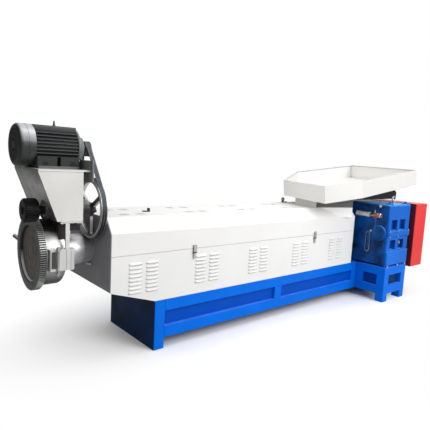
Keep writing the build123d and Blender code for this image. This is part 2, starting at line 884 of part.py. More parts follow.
# Feed tray: an open sheet tray, turned and tilted, on a neck that stands on the hood
turn = radians(tray_turn)
along = Vector(cos(turn), sin(turn), tan(radians(tray_rise))).normalized()
side = Vector(-sin(turn), cos(turn), tan(radians(tray_lean)))
tray_plane = Plane(origin=tray_corner, x_dir=along, z_dir=along.cross(side))
with BuildPart() as tray:
    with BuildSketch(tray_plane):
        Polygon(*tray_outline, align=None)
    extrude(amount=-tray_depth)
    with BuildSketch(tray_plane):
        Polygon(*tray_outline, align=None)
        offset(amount=-tray_sheet, kind=Kind.INTERSECTION, mode=Mode.REPLACE)
    extrude(amount=-(tray_depth - tray_sheet), mode=Mode.SUBTRACT)
save(tray.part, "feed_tray")

level = Plane(
    origin=(tray_corner[0], tray_corner[1], shoulder),
    x_dir=(cos(turn), sin(turn), 0),
    z_dir=(0, 0, 1),
)
under_tray = tray_plane.offset(-tray_depth)
with BuildPart() as neck:
    with BuildSketch(level):
        with Locations((neck_from[0], neck_from[1])):
            Rectangle(neck_size[0], neck_size[1], align=(Align.MIN, Align.MIN))
    extrude(amount=400)
    split(bisect_by=under_tray, keep=Keep.BOTTOM)
    add(lid.part, mode=Mode.SUBTRACT)
save(neck.part, "tray_neck")

upright = Plane(
    origin=(tray_corner[0] + 470 * sin(turn), tray_corner[1] - 470 * cos(turn), 0),
    x_dir=(cos(turn), sin(turn), 0),
    z_dir=(sin(turn), -cos(turn), 0),
)
with BuildPart() as support:
    with BuildSketch(upright):
        Polygon((640, 1190), (1370, 1214), (1370, 1296), (1240, 1400), (756, 1400), align=None)
    extrude(amount=-300)
    split(bisect_by=under_tray, keep=Keep.BOTTOM)
save(support.part, "tray_support")

with BuildPart() as stay:
    with BuildSketch(Plane.XY.offset(hood_top)):
        with Locations((tray_corner[0] + 60, 282)):
            RectangleRounded(90, 30, 6)
    extrude(amount=8)
    with BuildSketch(facing(276)):
        with Locations((tray_corner[0] + 36, hood_top + 36)):
            Circle(24)
            Circle(10, mode=Mode.SUBTRACT)
        with Locations((tray_corner[0] + 36, hood_top + 12)):
            Rectangle(20, 10)
    extrude(amount=-10)
save(stay.part, "tray_stay")
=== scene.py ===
import bmesh
import bpy
import numpy as np
from mathutils import Matrix


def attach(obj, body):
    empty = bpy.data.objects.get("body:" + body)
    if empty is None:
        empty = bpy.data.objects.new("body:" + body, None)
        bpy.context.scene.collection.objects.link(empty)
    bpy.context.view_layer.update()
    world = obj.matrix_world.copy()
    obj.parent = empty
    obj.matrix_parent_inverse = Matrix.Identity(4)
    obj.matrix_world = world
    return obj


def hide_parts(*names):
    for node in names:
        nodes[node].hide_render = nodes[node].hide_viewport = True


# A plastic pelletizing line: a screw extruder on a blue steel base, with a geared die head at its
# left end, a gearbox and a red belt guard at its right end, and a tilted feed tray on top.
# Metres; +X runs from the die head to the gearbox, -Y faces the operator and +Z is up.
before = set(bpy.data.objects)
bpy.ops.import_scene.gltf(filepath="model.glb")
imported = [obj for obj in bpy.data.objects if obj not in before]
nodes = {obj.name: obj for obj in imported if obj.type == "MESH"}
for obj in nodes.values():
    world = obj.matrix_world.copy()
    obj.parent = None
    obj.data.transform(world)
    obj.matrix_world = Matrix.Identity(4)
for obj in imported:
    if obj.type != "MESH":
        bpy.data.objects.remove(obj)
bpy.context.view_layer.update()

# Base frame
# Square tube and plate, welded and sprayed deep blue: two closed end walls stand on the floor, and
# rails, posts and sunk panels run between them. A short side frame stands on two legs in front.


class Wire:
    """A value that flows in a shader; Python's operators on it add Math nodes."""

    def __init__(self, finish, socket):
        self.finish, self.socket = finish, socket

    def maths(self, operation, first, second=0.0):
        return self.finish.node("Math", {"operation": operation}, {0: first, 1: second})

    def __add__(self, other):
        return self.maths("ADD", self, other)

    def __sub__(self, other):
        return self.maths("SUBTRACT", self, other)

    def __rsub__(self, other):
        return self.maths("SUBTRACT", other, self)

    def __mul__(self, other):
        return self.maths("MULTIPLY", self, other)

    def __pow__(self, other):
        return self.maths("POWER", self, other)

    __radd__, __rmul__ = __add__, __mul__


class Shading:
    """The nodes of one material or of the room. Stops are a ramp's places and shades."""

    def __init__(self, tree):
        self.tree = tree

    def plug(self, socket, value):
        if isinstance(value, Wire):
            self.tree.links.new(value.socket, socket)
        elif isinstance(value, tuple) and len(value) == 3 and socket.type == "RGBA":
            socket.default_value = (*value, 1.0)
        else:
            socket.default_value = value

    def node(self, kind, settings=(), inputs=(), output=0):
        made = self.tree.nodes.new("ShaderNode" + kind)
        for key, value in dict(settings).items():
            if key == "stops":
                ramp = made.color_ramp.elements
                ramp[0].position, ramp[1].position = value[0][0], value[-1][0]
                for place, _ in value[1:-1]:
                    ramp.new(place)
                for stop, (_, shade) in zip(ramp, value):
                    shade = shade if isinstance(shade, tuple) else (shade,) * 3
                    stop.color = (*shade, 1.0)
            else:
                setattr(made, key, value)
        for key, value in dict(inputs).items():
            self.plug(made.inputs[key], value)
        return Wire(self, made.outputs[output])

    def vector(self, operation, first, second=(0, 0, 0), output=0):
        return self.node("VectorMath", {"operation": operation}, {0: first, 1: second}, output)


class Finish(Shading):
    """One procedural material, with its steady values set on the shader's own sockets."""

    def __init__(self, name, **steady):
        self.made = bpy.data.materials.new(name)
        self.made.use_nodes = True
        super().__init__(self.made.node_tree)
        self.shader = self.tree.nodes["Principled BSDF"]
        self.put(**steady)

    def put(self, **values):
        for name, value in values.items():
            self.plug(self.shader.inputs[name.replace("_", " ")], value)
        return self

    def place(self, stretch=(1, 1, 1)):
        """Object coordinates in metres, times a stretch along each axis."""
        spot = self.node("TexCoord", output="Object")
        return spot if stretch == (1, 1, 1) else self.vector("MULTIPLY", spot, stretch)

    def spot(self, axis):
        """The object's own X, Y or Z, in metres."""
        return self.node("SeparateXYZ", {}, {0: self.place()}, "XYZ".index(axis))

    def facing(self, axis, way=1):
        """How far a face looks along an axis: 1 straight along it, 0 square to it or behind."""
        normal = self.node("TexCoord", output="Normal")
        along = self.node("SeparateXYZ", {}, {0: normal}, "XYZ".index(axis))
        return self.node("Clamp", {}, {0: along * way})

    def off_axis(self, y, z):
        """The distance from a line along X through (y, z)."""
        from_line = self.vector("SUBTRACT", self.place((0, 1, 1)), (0, y, z))
        return self.vector("LENGTH", from_line, output=1)

    def rise(self, value, start, end):
        """0 before start, 1 after end and a straight climb between, for a value or an axis."""
        value = self.spot(value) if isinstance(value, str) else value
        return self.node("MapRange", {}, {"Value": value, "From Min": start, "From Max": end})

    def band(self, value, start, full, ebb, end):
        """1 from full to ebb, 0 before start and after end, and straight climbs between."""
        return self.rise(value, start, full) * self.rise(value, end, ebb)

    def tide(self, scale, detail, reach, start, end):
        """A rise up Z whose edge wanders by a noise times reach."""
        return self.rise(self.spot("Z") + self.noise(scale, detail) * reach, start, end)

    def noise(self, scale, detail=3.0, rough=0.55, stretch=(1, 1, 1)):
        steady = {"Scale": scale, "Detail": detail, "Roughness": rough}
        return self.node("TexNoise", {}, {"Vector": self.place(stretch), **steady})

    def ramp(self, value, *stops):
        return self.node("ValToRGB", {"stops": stops}, {0: value})

    def mottle(self, scale, detail, *stops):
        """A noise read through a ramp."""
        return self.ramp(self.noise(scale, detail), *stops)

    def mix(self, factor, first, second):
        return self.node("Mix", {"data_type": "RGBA"}, {0: factor, 6: first, 7: second}, 2)

    def bump(self, height, strength, depth):
        steady = {"Strength": strength, "Distance": depth}
        return self.put(Normal=self.node("Bump", {}, {"Height": height, **steady}))

    def coat(self, base, rough, metal=0.0):
        """Plug the surface made so far: its colour, roughness and metal."""
        self.base, self.rough, self.metal = base, rough, metal
        return self.put(Base_Color=base, Roughness=rough, Metallic=metal)

    def over(self, mask, colour, rough, metal=0.0):
        """Lay another surface over this one where mask is 1."""
        bare = 1 - mask
        base = self.mix(mask, self.base, colour)
        return self.coat(base, bare * self.rough + mask * rough, bare * self.metal + mask * metal)


def enamel(name, colour, gloss, dust, chipped, patch=0.05, shine=0.22):
    """Sprayed enamel: a faint cloudiness, orange peel, settled dust on what faces up, and fine
    chips where two noises are high together, which show the primer."""
    paint = Finish(name, Specular_IOR_Level=shine)
    dark = tuple(c * (1 - patch * 2.4) for c in colour)
    light = tuple(min(1.0, c * (1 + patch)) for c in colour)
    base = paint.mix(paint.mottle(2.3, 4.0, (0.3, 0.0), (0.7, 1.0)), dark, light)
    settled = paint.mottle(9.0, 5.0, (0.35, 0.3), (0.8, 1.0)) * paint.facing("Z") ** 3 * dust
    base = paint.mix(settled, base, (0.50, 0.52, 0.54))
    chips = paint.ramp(paint.noise(70.0, 6.0, 0.7), (0.70, 0.0), (0.725, 1.0))
    chips = chips * paint.mottle(3.1, 2.0, (0.52, 0.0), (0.68, 1.0))
    base = paint.mix(chips, base, chipped)
    paint.bump(paint.noise(230.0, 2.0) * 0.4 - chips, 0.12, 0.0008)
    return paint.coat(base, paint.mottle(14.0, 4.0, (0.3, gloss), (0.75, gloss + 0.16)))


def soften(piece, width, merge=False):
    """Round the sharp edges of a piece. A CAD node's loose triangles are merged first."""
    if merge:
        piece.modifiers.new("weld", "WELD").merge_threshold = 0.00002
    edge = piece.modifiers.new("edge", "BEVEL")
    edge.width, edge.segments, edge.limit_method = width, 2, "ANGLE"
    edge.angle_limit = np.radians(35)


def wear(finish, *names, edge=None):
    """Give CAD nodes their finish, and softened edges where edge gives a width."""
    for name in names:
        nodes[name].data.materials.clear()
        nodes[name].data.materials.append(finish.made)
        if edge:
            soften(nodes[name], edge, merge=True)


def shape(name, parts, finish, body="machine", smooth=False, rounded=None):
    """A piece from its points and faces, with coincident points merged, riding on one body."""
    points, faces = parts
    mesh = bpy.data.meshes.new(name)
    mesh.from_pydata(np.asarray(points, float).tolist(), [], [list(map(int, f)) for f in faces])
    joined = bmesh.new()
    joined.from_mesh(mesh)
    bmesh.ops.remove_doubles(joined, verts=joined.verts, dist=1e-6)
    joined.to_mesh(mesh)
    joined.free()
    mesh.materials.append(finish.made)
    mesh.polygons.foreach_set("use_smooth", [smooth] * len(mesh.polygons))
    made = bpy.data.objects.new(name, mesh)
    bpy.context.scene.collection.objects.link(made)
    if rounded:
        soften(made, rounded)
    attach(made, body)
    return made


def net(rows, columns, wrap_rows=False, wrap_columns=False):
    """The faces of a grid of points: each cell joins its four corners, wrapping where asked."""
    i = np.arange(rows if wrap_rows else rows - 1)
    j = np.arange(columns if wrap_columns else columns - 1)
    i, j = (a.ravel() for a in np.meshgrid(i, j, indexing="ij"))
    k, m = (i + 1) % rows, (j + 1) % columns
    return np.stack([i * columns + j, k * columns + j, k * columns + m, i * columns + m], 1)


def anticlockwise(profile):
    """A closed profile, reversed where its cross products' sum, twice its area, is negative."""
    x, y = profile.T
    return profile if (x * np.roll(y, -1) - y * np.roll(x, -1)).sum() > 0 else profile[::-1]


def carried(path, profile, up=(0, 0, 1), closed=False, swell=1.0):
    """A closed profile of (side, up) offsets carried along a path: each point is the path's own
    point plus side times (tangent x up) plus up times that frame's own up, both times swell at
    that point. Open ends are capped."""
    path, profile = np.asarray(path, float), anticlockwise(np.asarray(profile, float))
    ahead = np.roll(path, -1, 0) - np.roll(path, 1, 0) if closed else np.gradient(path, axis=0)
    ahead /= np.linalg.norm(ahead, axis=1)[:, None]
    side = np.cross(ahead, np.asarray(up, float))
    side /= np.linalg.norm(side, axis=1)[:, None]
    above = np.cross(side, ahead)
    n, m = len(path), len(profile)
    offsets = profile[None] * np.broadcast_to(swell, n)[:, None, None]
    points = path[:, None] + offsets[..., :1] * side[:, None] + offsets[..., 1:] * above[:, None]
    faces = [list(f) for f in net(n, m, closed, True)]
    if not closed:
        faces += [list(range(m)), list(range((n - 1) * m, n * m))[::-1]]
    return points.reshape(-1, 3), faces


def ring(radius, sides):
    """A circle as (side, up) offsets."""
    t = np.linspace(0, 2 * np.pi, sides, endpoint=False)
    return np.stack([radius * np.cos(t), radius * np.sin(t)], 1)


def together(*shapes):
    """Several (points, faces) as one."""
    points, faces, count = [], [], 0
    for p, f in shapes:
        points.append(np.asarray(p, float))
        faces += [[v + count for v in face] for face in f]
        count += len(p)
    return np.concatenate(points), faces


def weld_bead(corners, up, radius=0.0035, pitch=0.008, closed=False):
    """A weld along straight runs: a round bead whose radius swells by a sixth once every pitch."""
    corners = np.asarray(corners, float)
    corners = np.concatenate([corners, corners[:1]]) if closed else corners
    run = np.r_[0, np.cumsum(np.linalg.norm(np.diff(corners, axis=0), axis=1))]
    s = np.linspace(0, run[-1], int(run[-1] / pitch * 3), endpoint=not closed)
    line = np.stack([np.interp(s, run, corners[:, k]) for k in range(3)], 1)
    return carried(line, ring(radius, 6), up, closed, 1 + np.sin(s * 2 * np.pi / pitch) / 6)


primer = (0.02, 0.03, 0.06)
blue = enamel("blue_enamel", (0.001, 0.146, 0.72), 0.30, 0.22, primer, shine=0.07)
# The faces of the sunk panels are painted darker blue as shade in their recess.
panel_shade = blue.rise("Y", -0.372, -0.362) * blue.facing("Y", -1) ** 4
blue.over(panel_shade * 0.85, (0.0005, 0.060, 0.44), 0.36)
# The window in the side frame's left face is painted dark as shade inside it.
side_window_shade = blue.band("X", 2.888, 2.896, 2.920, 2.930) * blue.facing("X", -1) ** 4
side_window_shade = side_window_shade * blue.rise("Y", -0.40, -0.42)
blue.over(side_window_shade * 0.8, (0.0005, 0.020, 0.16), 0.4)
# The sunk front of the side frame is painted dark navy as shade.
front_recess_shade = blue.band("Y", -0.750, -0.740, -0.55, -0.45) * blue.facing("Y", -1) ** 4
blue.over(front_recess_shade * 0.9, (0.002, 0.016, 0.075), 0.4)
end_shade = blue.mottle(5.0, 4.0, (0.3, 0.90), (0.7, 1.0)) * blue.facing("X", -1) ** 2
end_shade = end_shade * blue.rise("X", 0.0, -0.04)
blue.over(end_shade, (0.003, 0.009, 0.017), 0.34)
wear(blue, "base_left_end", "base_right_end", "base_front_side", edge=0.004)
wear(blue, "base_back_side", "gearbox_base", edge=0.004)
wear(blue, "base_deck")

panel_face, panel_low, panel_high = 0.357, 0.192, 0.32
front_panels = [(0.05, 1.39), (1.49, 2.78)]
back_panels = [(0.05, 1.39), (1.49, 3.18)]
beads = []
for y, panels in ((-panel_face, front_panels), (panel_face, back_panels)):
    for left, right in panels:
        low = [(left, y, panel_low), (right, y, panel_low)]
        high = [(right, y, panel_high), (left, y, panel_high)]
        beads.append(weld_bead(low + high, (0, 1, 0), closed=True))
shape("panel_welds", together(*beads), blue, smooth=True)

# Hood casing
# Folded from off-white enamelled sheet. Five pairs of columns of pressed louvres ventilate each
# side; each louvre is cut along its lower edge and pushed outward.
white = enamel("hood_enamel", (0.785, 0.78, 0.77), 0.36, 0.10, (0.50, 0.49, 0.47), 0.012)
wear(white, "hood_lower_casing")

hood_left, bay, hood_face = -0.45, 0.64, 0.384
slit_z = 0.515 + 0.032 * np.arange(8)
half_pair = 0.076


def copies(points, faces, places):
    """The same small shape at many places: every place is added to every point."""
    points, places = np.asarray(points, float), np.asarray(places, float)
    moved = (points[None] + places[:, None]).reshape(-1, 3)
    count = len(points)
    return moved, [[v + i * count for v in face] for i in range(len(places)) for face in faces]


def pressed_louvre(width, height, reach):
    """One pressed louvre on a panel facing -Y: over s across and t down, the sheet stands out by
    reach * sin(t * pi / 2) * (1 - s^6), so it rises smoothly and ends in an open lower edge."""
    s, t = np.meshgrid(np.linspace(-1, 1, 13), np.linspace(0, 1, 7), indexing="ij")
    out = reach * np.sin(t * np.pi / 2) * (1 - s**6)
    drop = height * (0.5 - t) - 0.0015 * out / reach
    points = np.stack([s * width / 2, -out, drop], -1).reshape(-1, 3)
    return points, net(13, 7)[:, ::-1]


def louvre_piece(name, lip, faces, spots):
    """Copies of one louvre at many spots, as sheet 1.2 mm thick."""
    louvres = shape(name, copies(lip, faces, spots), white, smooth=True)
    thick = louvres.modifiers.new("sheet", "SOLIDIFY")
    thick.thickness, thick.offset = 0.0012, -1.0


columns = hood_left + (np.arange(5) + 0.45) * bay
columns = np.concatenate([columns - half_pair, columns + half_pair])
x, z = (a.ravel() for a in np.meshgrid(columns, slit_z, indexing="ij"))
lip, lip_faces = pressed_louvre(0.118, 0.021, 0.010)
flush = 0.0006
spots = np.stack([x, np.full_like(x, flush - hood_face), z + 0.013], 1)
louvre_piece("louvres_front", lip, lip_faces, spots)
louvre_piece("louvres_back", lip * (1, -1, 1), lip_faces[:, ::-1], spots * (1, -1, 1))

# Hood lid
# The lid is folded from the same sheet, with sloped shoulders and softly rounded folds. Its flat
# top has short louvres in four rows, and one small dark angle bracket stands on it.
wear(white, "hood_lid", edge=0.004)
hood_top = 1.105
short_lip, short_faces = pressed_louvre(0.100, 0.024, 0.004)
rows = np.array([-0.19, -0.15, 0.11, 0.15])
x, y = (a.ravel() for a in np.meshgrid(columns[columns < 2.0], rows, indexing="ij"))
spots = np.stack([x, y, np.full_like(x, hood_top - flush)], 1)
louvre_piece("louvres_lid", short_lip[:, [0, 2, 1]] * (1, 1, -1), short_faces, spots)

black = enamel("black_enamel", (0.016, 0.016, 0.017), 0.40, 0.25, (0.16, 0.15, 0.14))
sole, height, thick, lug_x = 0.058, 0.030, 0.008, 0.04
angle = [(0, 0), (sole, 0), (sole, height), (sole - thick, height), (sole - thick, thick)]
angle = np.array(angle + [(0, thick)]) + (-0.035, 0)
lug = carried([(lug_x, -0.04, hood_top), (lug_x, -0.08, hood_top)], angle * (-1, 1))
lug_grey = enamel("bracket_grey", (0.060, 0.060, 0.062), 0.45, 0.5, (0.25, 0.24, 0.22))
lug = shape("lug_bracket", lug, lug_grey, rounded=0.0012)
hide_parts("hood_lug")

# Hood end plate
# A grey steel plate closes the hood's left end round the barrel. Small screws hold it to the
# casing, and a short round bar is welded to it under the barrel.
plate_grey = enamel("end_plate_paint", (0.185, 0.181, 0.190), 0.42, 0.3, (0.32, 0.31, 0.30), 0.06)
wear(plate_grey, "hood_end_plate")


def bolt(across, height, axis, washer=0.002):
    """A hexagon head on a washer, standing out along axis from the origin."""
    axis = np.asarray(axis, float)
    up = (0, 0, 1) if abs(axis[2]) < 0.9 else (1, 0, 0)
    disc = carried([axis * 0, axis * washer], ring(across * 0.66, 20), up)
    head = carried([axis * washer, axis * (height - 0.001)], ring(across / 1.732, 6), up)
    crown = carried([axis * (height - 0.001), axis * height], ring(across * 0.49, 12), up)
    return together(disc, head, crown)


def bolted(name, head, places, finish):
    """One bolt's head at many places, as one piece."""
    shape(name, copies(*head, places), finish)


zinc = Finish("bright_zinc", Specular_IOR_Level=0.5)
zinc_stain = zinc.mottle(90.0, 4.0, (0.35, (0.62, 0.62, 0.60)), (0.75, (0.40, 0.39, 0.36)))
zinc.bump(zinc.noise(600.0, 2.0), 0.06, 0.0003)
zinc.coat(zinc_stain, zinc.mottle(120.0, 3.0, (0.3, 0.26), (0.7, 0.44)), 1.0)

plate_edge = [(-0.34, 0.62), (-0.34, 0.80), (-0.34, 0.96), (-0.13, 1.065), (0.13, 1.065)]
plate_edge = np.array(plate_edge)
plate_edge = np.concatenate([plate_edge, plate_edge[:3] * (-1, 1)])
places = np.c_[np.full(len(plate_edge), hood_left), plate_edge]
bolted("end_plate_screws", bolt(0.013, 0.005, (-1, 0, 0)), places, plate_grey)
bar_radius = 0.009
bar_line = [(hood_left - bar_radius, 0.005, 0.694), (hood_left - bar_radius, -0.070, 0.706)]
bar = carried(bar_line, ring(bar_radius, 12))
shape("end_plate_bar", bar, zinc, smooth=True)

# Hood latches
# Toggle latches of bright steel pull the lid down across the seam. A wire bail runs from each
# lever's dark pivot up round the keeper, and small rivets hold the plates.
bright = Finish("latch_steel", Specular_IOR_Level=0.5)
latch_stain = bright.mottle(60.0, 4.0, (0.35, (0.70, 0.69, 0.67)), (0.8, (0.42, 0.41, 0.38)))
bright.bump(bright.noise(300.0, 3.0, 0.6, (1, 1, 0.1)), 0.08, 0.0003)
bright.coat(latch_stain, bright.mottle(40.0, 3.0, (0.3, 0.24), (0.7, 0.42)), 1.0)
wear(bright, "hood_latches", edge=0.0012)


def eased(corners, radius, closed=False, steps=6):
    """Straight runs with each corner turned into a parabola, which starts and ends at radius
    from it: (1-t)^2 a + 2t(1-t) corner + t^2 b."""
    corners = np.asarray(corners, float)
    before, after = np.roll(corners, 1, 0) - corners, np.roll(corners, -1, 0) - corners
    start = corners + before / np.linalg.norm(before, axis=1)[:, None] * radius
    end = corners + after / np.linalg.norm(after, axis=1)[:, None] * radius
    t = np.linspace(0, 1, steps)[None, :, None]
    curve = (1 - t) ** 2 * start[:, None] + 2 * t * (1 - t) * corners[:, None] + t**2 * end[:, None]
    if closed:
        return curve.reshape(-1, 3)
    return np.concatenate([corners[:1], curve[1:-1].reshape(-1, 3), corners[-1:]])


def turned(profile, centre, axis=(1, 0, 0), sides=48):
    """A closed profile of (along, radius) turned about an axis through centre: each point is centre
    plus along times the axis plus radius times a circle square to it."""
    profile, axis = anticlockwise(np.asarray(profile, float))[::-1], np.asarray(axis, float)
    first = np.cross(axis, (0, 0, 1) if abs(axis[2]) < 0.9 else (1, 0, 0))
    first /= np.linalg.norm(first)
    second = np.cross(axis, first)
    t = np.linspace(0, 2 * np.pi, sides, endpoint=False)
    spin = np.cos(t)[:, None] * first + np.sin(t)[:, None] * second
    points = centre + profile[None, :, :1] * axis + profile[None, :, 1:] * spin[:, None]
    return points.reshape(-1, 3), net(sides, len(profile), True, True)


def dome(radius, height):
    """The half section of a low round head, as (along, radius): a quarter ellipse."""
    t = np.linspace(0, np.pi / 2, 5)
    return np.concatenate([[(0, 0)], np.stack([height * np.sin(t), radius * np.cos(t)], 1)])


latch_x = hood_left + np.array([1.21, 3.80]) * bay
latch_face, pivot_z = -hood_face - 0.014, 0.786
bail_y, pivot_y = latch_face - 0.002, latch_face + 0.002
bail = [(-0.012, bail_y, pivot_z), (0.012, bail_y, pivot_z)]
bail += [(0.014, bail_y, pivot_z + 0.070), (-0.014, bail_y, pivot_z + 0.070)]
bail = carried(eased(bail, 0.008, True), ring(0.0022, 8), (0, 1, 0), True)
places = np.c_[latch_x, np.zeros((2, 2))]
shape("latch_bails", copies(*bail, places), bright, smooth=True)
pivot = carried([(-0.019, pivot_y, pivot_z), (0.019, pivot_y, pivot_z)], ring(0.0065, 14))
shape("latch_pivots", copies(*pivot, places), black, rounded=0.001)
rivet = turned(dome(0.0034, 0.002), (0, -hood_face - 0.005, 0), (0, -1, 0), 12)
corners = ((-0.011, 0.749), (0.011, 0.749), (-0.012, 0.851), (0.012, 0.851))
rivets = [(x + dx, 0, z) for x in latch_x for dx, z in corners]
shape("latch_rivets", copies(*rivet, rivets), bright, smooth=True)

# Barrel
# The barrel is a turned and polished steel tube with a thicker collar beside the die body. It comes
# out through the end plate and carries the whole die head.


def steel(name, colour, gloss, stretch, streaks=0.06, tint=(0.5, 0.49, 0.47), metal=1.0):
    """Ground or turned steel: fine streaks drawn out along one axis, soft smudges and stains."""
    bare = Finish(name)
    fine = bare.noise(40.0, 4.0, 0.6, stretch)
    smudge = bare.noise(6.0, 4.0)
    streaked = tuple(c * (1 - streaks * 3) for c in colour)
    base = bare.mix(bare.ramp(fine, (0.3, 0.0), (0.7, 1.0)), streaked, colour)
    base = bare.mix(bare.ramp(smudge, (0.45, 0.0), (0.75, 0.55)), base, tint)
    bare.bump(fine, 0.05, 0.0004)
    return bare.coat(base, bare.ramp(smudge, (0.3, gloss), (0.7, gloss + 0.14)), metal)


tube = steel("polished_barrel", (0.80, 0.80, 0.81), 0.42, (6, 1, 1), 0.04, (0.64, 0.64, 0.65))
wear(tube, "barrel", edge=0.002)

# Die body
# A drum of turned steel carries the die gear on its front spigot. Its side is bright; old oil has
# browned the sunk face inside the gear. A dark band runs along its top, and its lower side is
# painted darker as shade.
drum = steel("die_drum", (0.72, 0.72, 0.72), 0.42, (8, 1, 1), 0.05, (0.62, 0.62, 0.61))
# A dark band along the top of the drum.
drum.over(drum.tide(14.0, 4.0, 0.05, 0.965, 1.035), (0.018, 0.017, 0.015), 0.34)
# Painted shade: the lower side of the drum is darker.
low_side_shade = drum.tide(9.0, 4.0, 0.04, 0.78, 0.66)
drum.over(low_side_shade * 0.92, (0.045, 0.045, 0.044), 0.5, 0.1)
browned = drum.rise("X", -0.882, -0.888)
cloudy = drum.mottle(11.0, 5.0, (0.3, (0.030, 0.026, 0.022)), (0.72, (0.085, 0.060, 0.048)))
drum.over(browned, cloudy, 0.5)
wear(drum, "die_body", edge=0.002)

face_x, die_axis, proud = -0.892, 0.826, -0.0016
lands = []
for r in (0.060, 0.118, 0.166):
    land = [(0, r), (proud, r + 0.0012), (proud, r + 0.0042), (0, r + 0.0054)]
    lands.append(turned(land, (face_x, 0, die_axis), sides=96))
shape("die_face_lands", together(*lands), drum)

# Die gear and pinion
# Spur gears cut from dark steel, wet with oil. Running contact keeps the tips and flanks of the
# gear's teeth bright, and the lower part of its bore is painted light as a highlight. The pinion
# is blacker, with a painted highlight line on a few teeth and a turned cap on its end.


def casting(name, colour, stain, gloss, metal=0.35, grit=0.18):
    """Oiled cast iron or rough paint: a sandy grain, patches of a stain, and an oily sheen."""
    iron = Finish(name, Specular_IOR_Level=0.4)
    grain = iron.noise(170.0, 3.0)
    patch = iron.noise(8.0, 5.0, 0.65)
    base = iron.mix(iron.ramp(patch, (0.4, 0.0), (0.7, 1.0)), colour, stain)
    base = iron.mix(iron.ramp(grain, (0.35, 0.0), (0.8, 0.3)), base, tuple(c * 1.9 for c in colour))
    iron.bump(grain, grit, 0.0009)
    return iron.coat(base, iron.mottle(22.0, 4.0, (0.3, gloss), (0.75, gloss + 0.22)), metal)


bright_cut = (0.46, 0.46, 0.45)
gear_iron = casting("die_gear_steel", (0.030, 0.036, 0.037), (0.060, 0.048, 0.040), 0.30, 0.5)
from_axis = gear_iron.off_axis(0.0, die_axis)
teal = gear_iron.rise(from_axis, 0.236, 0.258) * gear_iron.facing("X", -1)
gear_iron.over(teal * 0.6, (0.022, 0.040, 0.044), 0.3, 0.5)
dulled_low = 0.35 + gear_iron.rise("Z", 0.62, 0.74) * 0.65
teeth = gear_iron.rise(from_axis, 0.266, 0.2725) * dulled_low
gear_iron.over(teeth * 0.85, bright_cut, 0.3, 1.0)
# The lower part of the bore is painted light as a highlight.
bore_highlight = gear_iron.rise(from_axis, 0.2065, 0.2050) * gear_iron.rise("Z", 0.82, 0.72)
gear_iron.over(bore_highlight, (0.78, 0.77, 0.74), 0.35, 0.3)
wear(gear_iron, "die_gear")

shaft_y, shaft_z = -0.117, 1.155865
wet_iron = casting("pinion_steel", (0.006, 0.006, 0.006), (0.010, 0.009, 0.008), 0.42, 0.1)
wet_iron.put(Specular_IOR_Level=0.2)
# A painted highlight line on a few of the pinion's teeth.
tooth_highlight = wet_iron.rise(wet_iron.off_axis(shaft_y, shaft_z), 0.0838, 0.0848)
patchy = wet_iron.noise(7.0, 2.0, 0.5, (0.2, 1, 1))
tooth_highlight = tooth_highlight * wet_iron.ramp(patchy, (0.52, 0.0), (0.6, 0.7))
wet_iron.over(tooth_highlight, (0.25, 0.27, 0.26), 0.35, 0.8)
wear(wet_iron, "pinion", "pinion_shaft")

cap = [(0, 0), (0, 0.020), (-0.003, 0.020), (-0.005, 0.016), (-0.005, 0)]
cap = turned(cap, (-0.994, shaft_y, shaft_z), sides=28)
shape("pinion_end_cap", cap, wet_iron, body="drive_shaft")

# Lever bar
# A round bar of browned iron stands out from the far side of the die body, with a painted
# highlight along its top and its end turned round.
bar_iron = casting("bar_iron", (0.040, 0.028, 0.020), (0.085, 0.055, 0.040), 0.45, 0.1)
# Faces that look up are painted light as a highlight.
bar_iron.over(bar_iron.rise(bar_iron.facing("Z"), 0.35, 0.85) * 0.85, (0.50, 0.48, 0.46), 0.38, 0.3)
length, radius, nose = 0.364, 0.0170, 0.004
lever_start, lever_way = (-0.844, 0.238, 0.834), (0, 0.999, 0.0447)
lever = [(0, 0), (0, radius), (length - nose, radius), (length, radius - nose), (length, 0)]
lever = turned(lever, lever_start, lever_way, 28)
lever = shape("lever_bar", lever, bar_iron, rounded=0.001)
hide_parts("die_lever")

# Clamp
# Two machined blocks grip the die body and a swing bolt pulls each one tight in its slot, with a
# washer and a nut above and below and a few turns of thread showing.
stain = (0.60, 0.60, 0.59)
milled = steel("clamp_steel", (0.74, 0.74, 0.73), 0.34, (1, 1, 0.08), 0.06, stain, 0.7)
slot_wide = milled.band("X", -0.849, -0.846, -0.819, -0.815)
slot_high = milled.band("Z", 0.757, 0.763, 0.878, 0.884)
# The faces inside each bolt slot are painted near black as shade.
slot_shade = slot_wide * slot_high * milled.facing("Y", -1)
milled.over(slot_shade * 0.95, (0.014, 0.014, 0.014), 0.5)
wear(milled, "clamp_front", "clamp_back", edge=0.0025)
stain = (0.30, 0.295, 0.29)
bolt_steel = steel("swing_bolt_steel", (0.52, 0.52, 0.515), 0.30, (1, 1, 0.3), 0.08, stain)
wear(bolt_steel, "swing_bolts", edge=0.001)


def flat_ring(inner, outer, thick):
    """The half section of a flat ring, or with inner 0 of a disc, as (along, radius)."""
    return [(0, inner), (0, outer), (thick, outer), (thick, inner)]


def flat_bar(width, depth):
    """The section of a flat bar, as (side, up) offsets."""
    return np.array([(-1, -1), (1, -1), (1, 1), (-1, 1)]) * (width / 2, depth / 2)


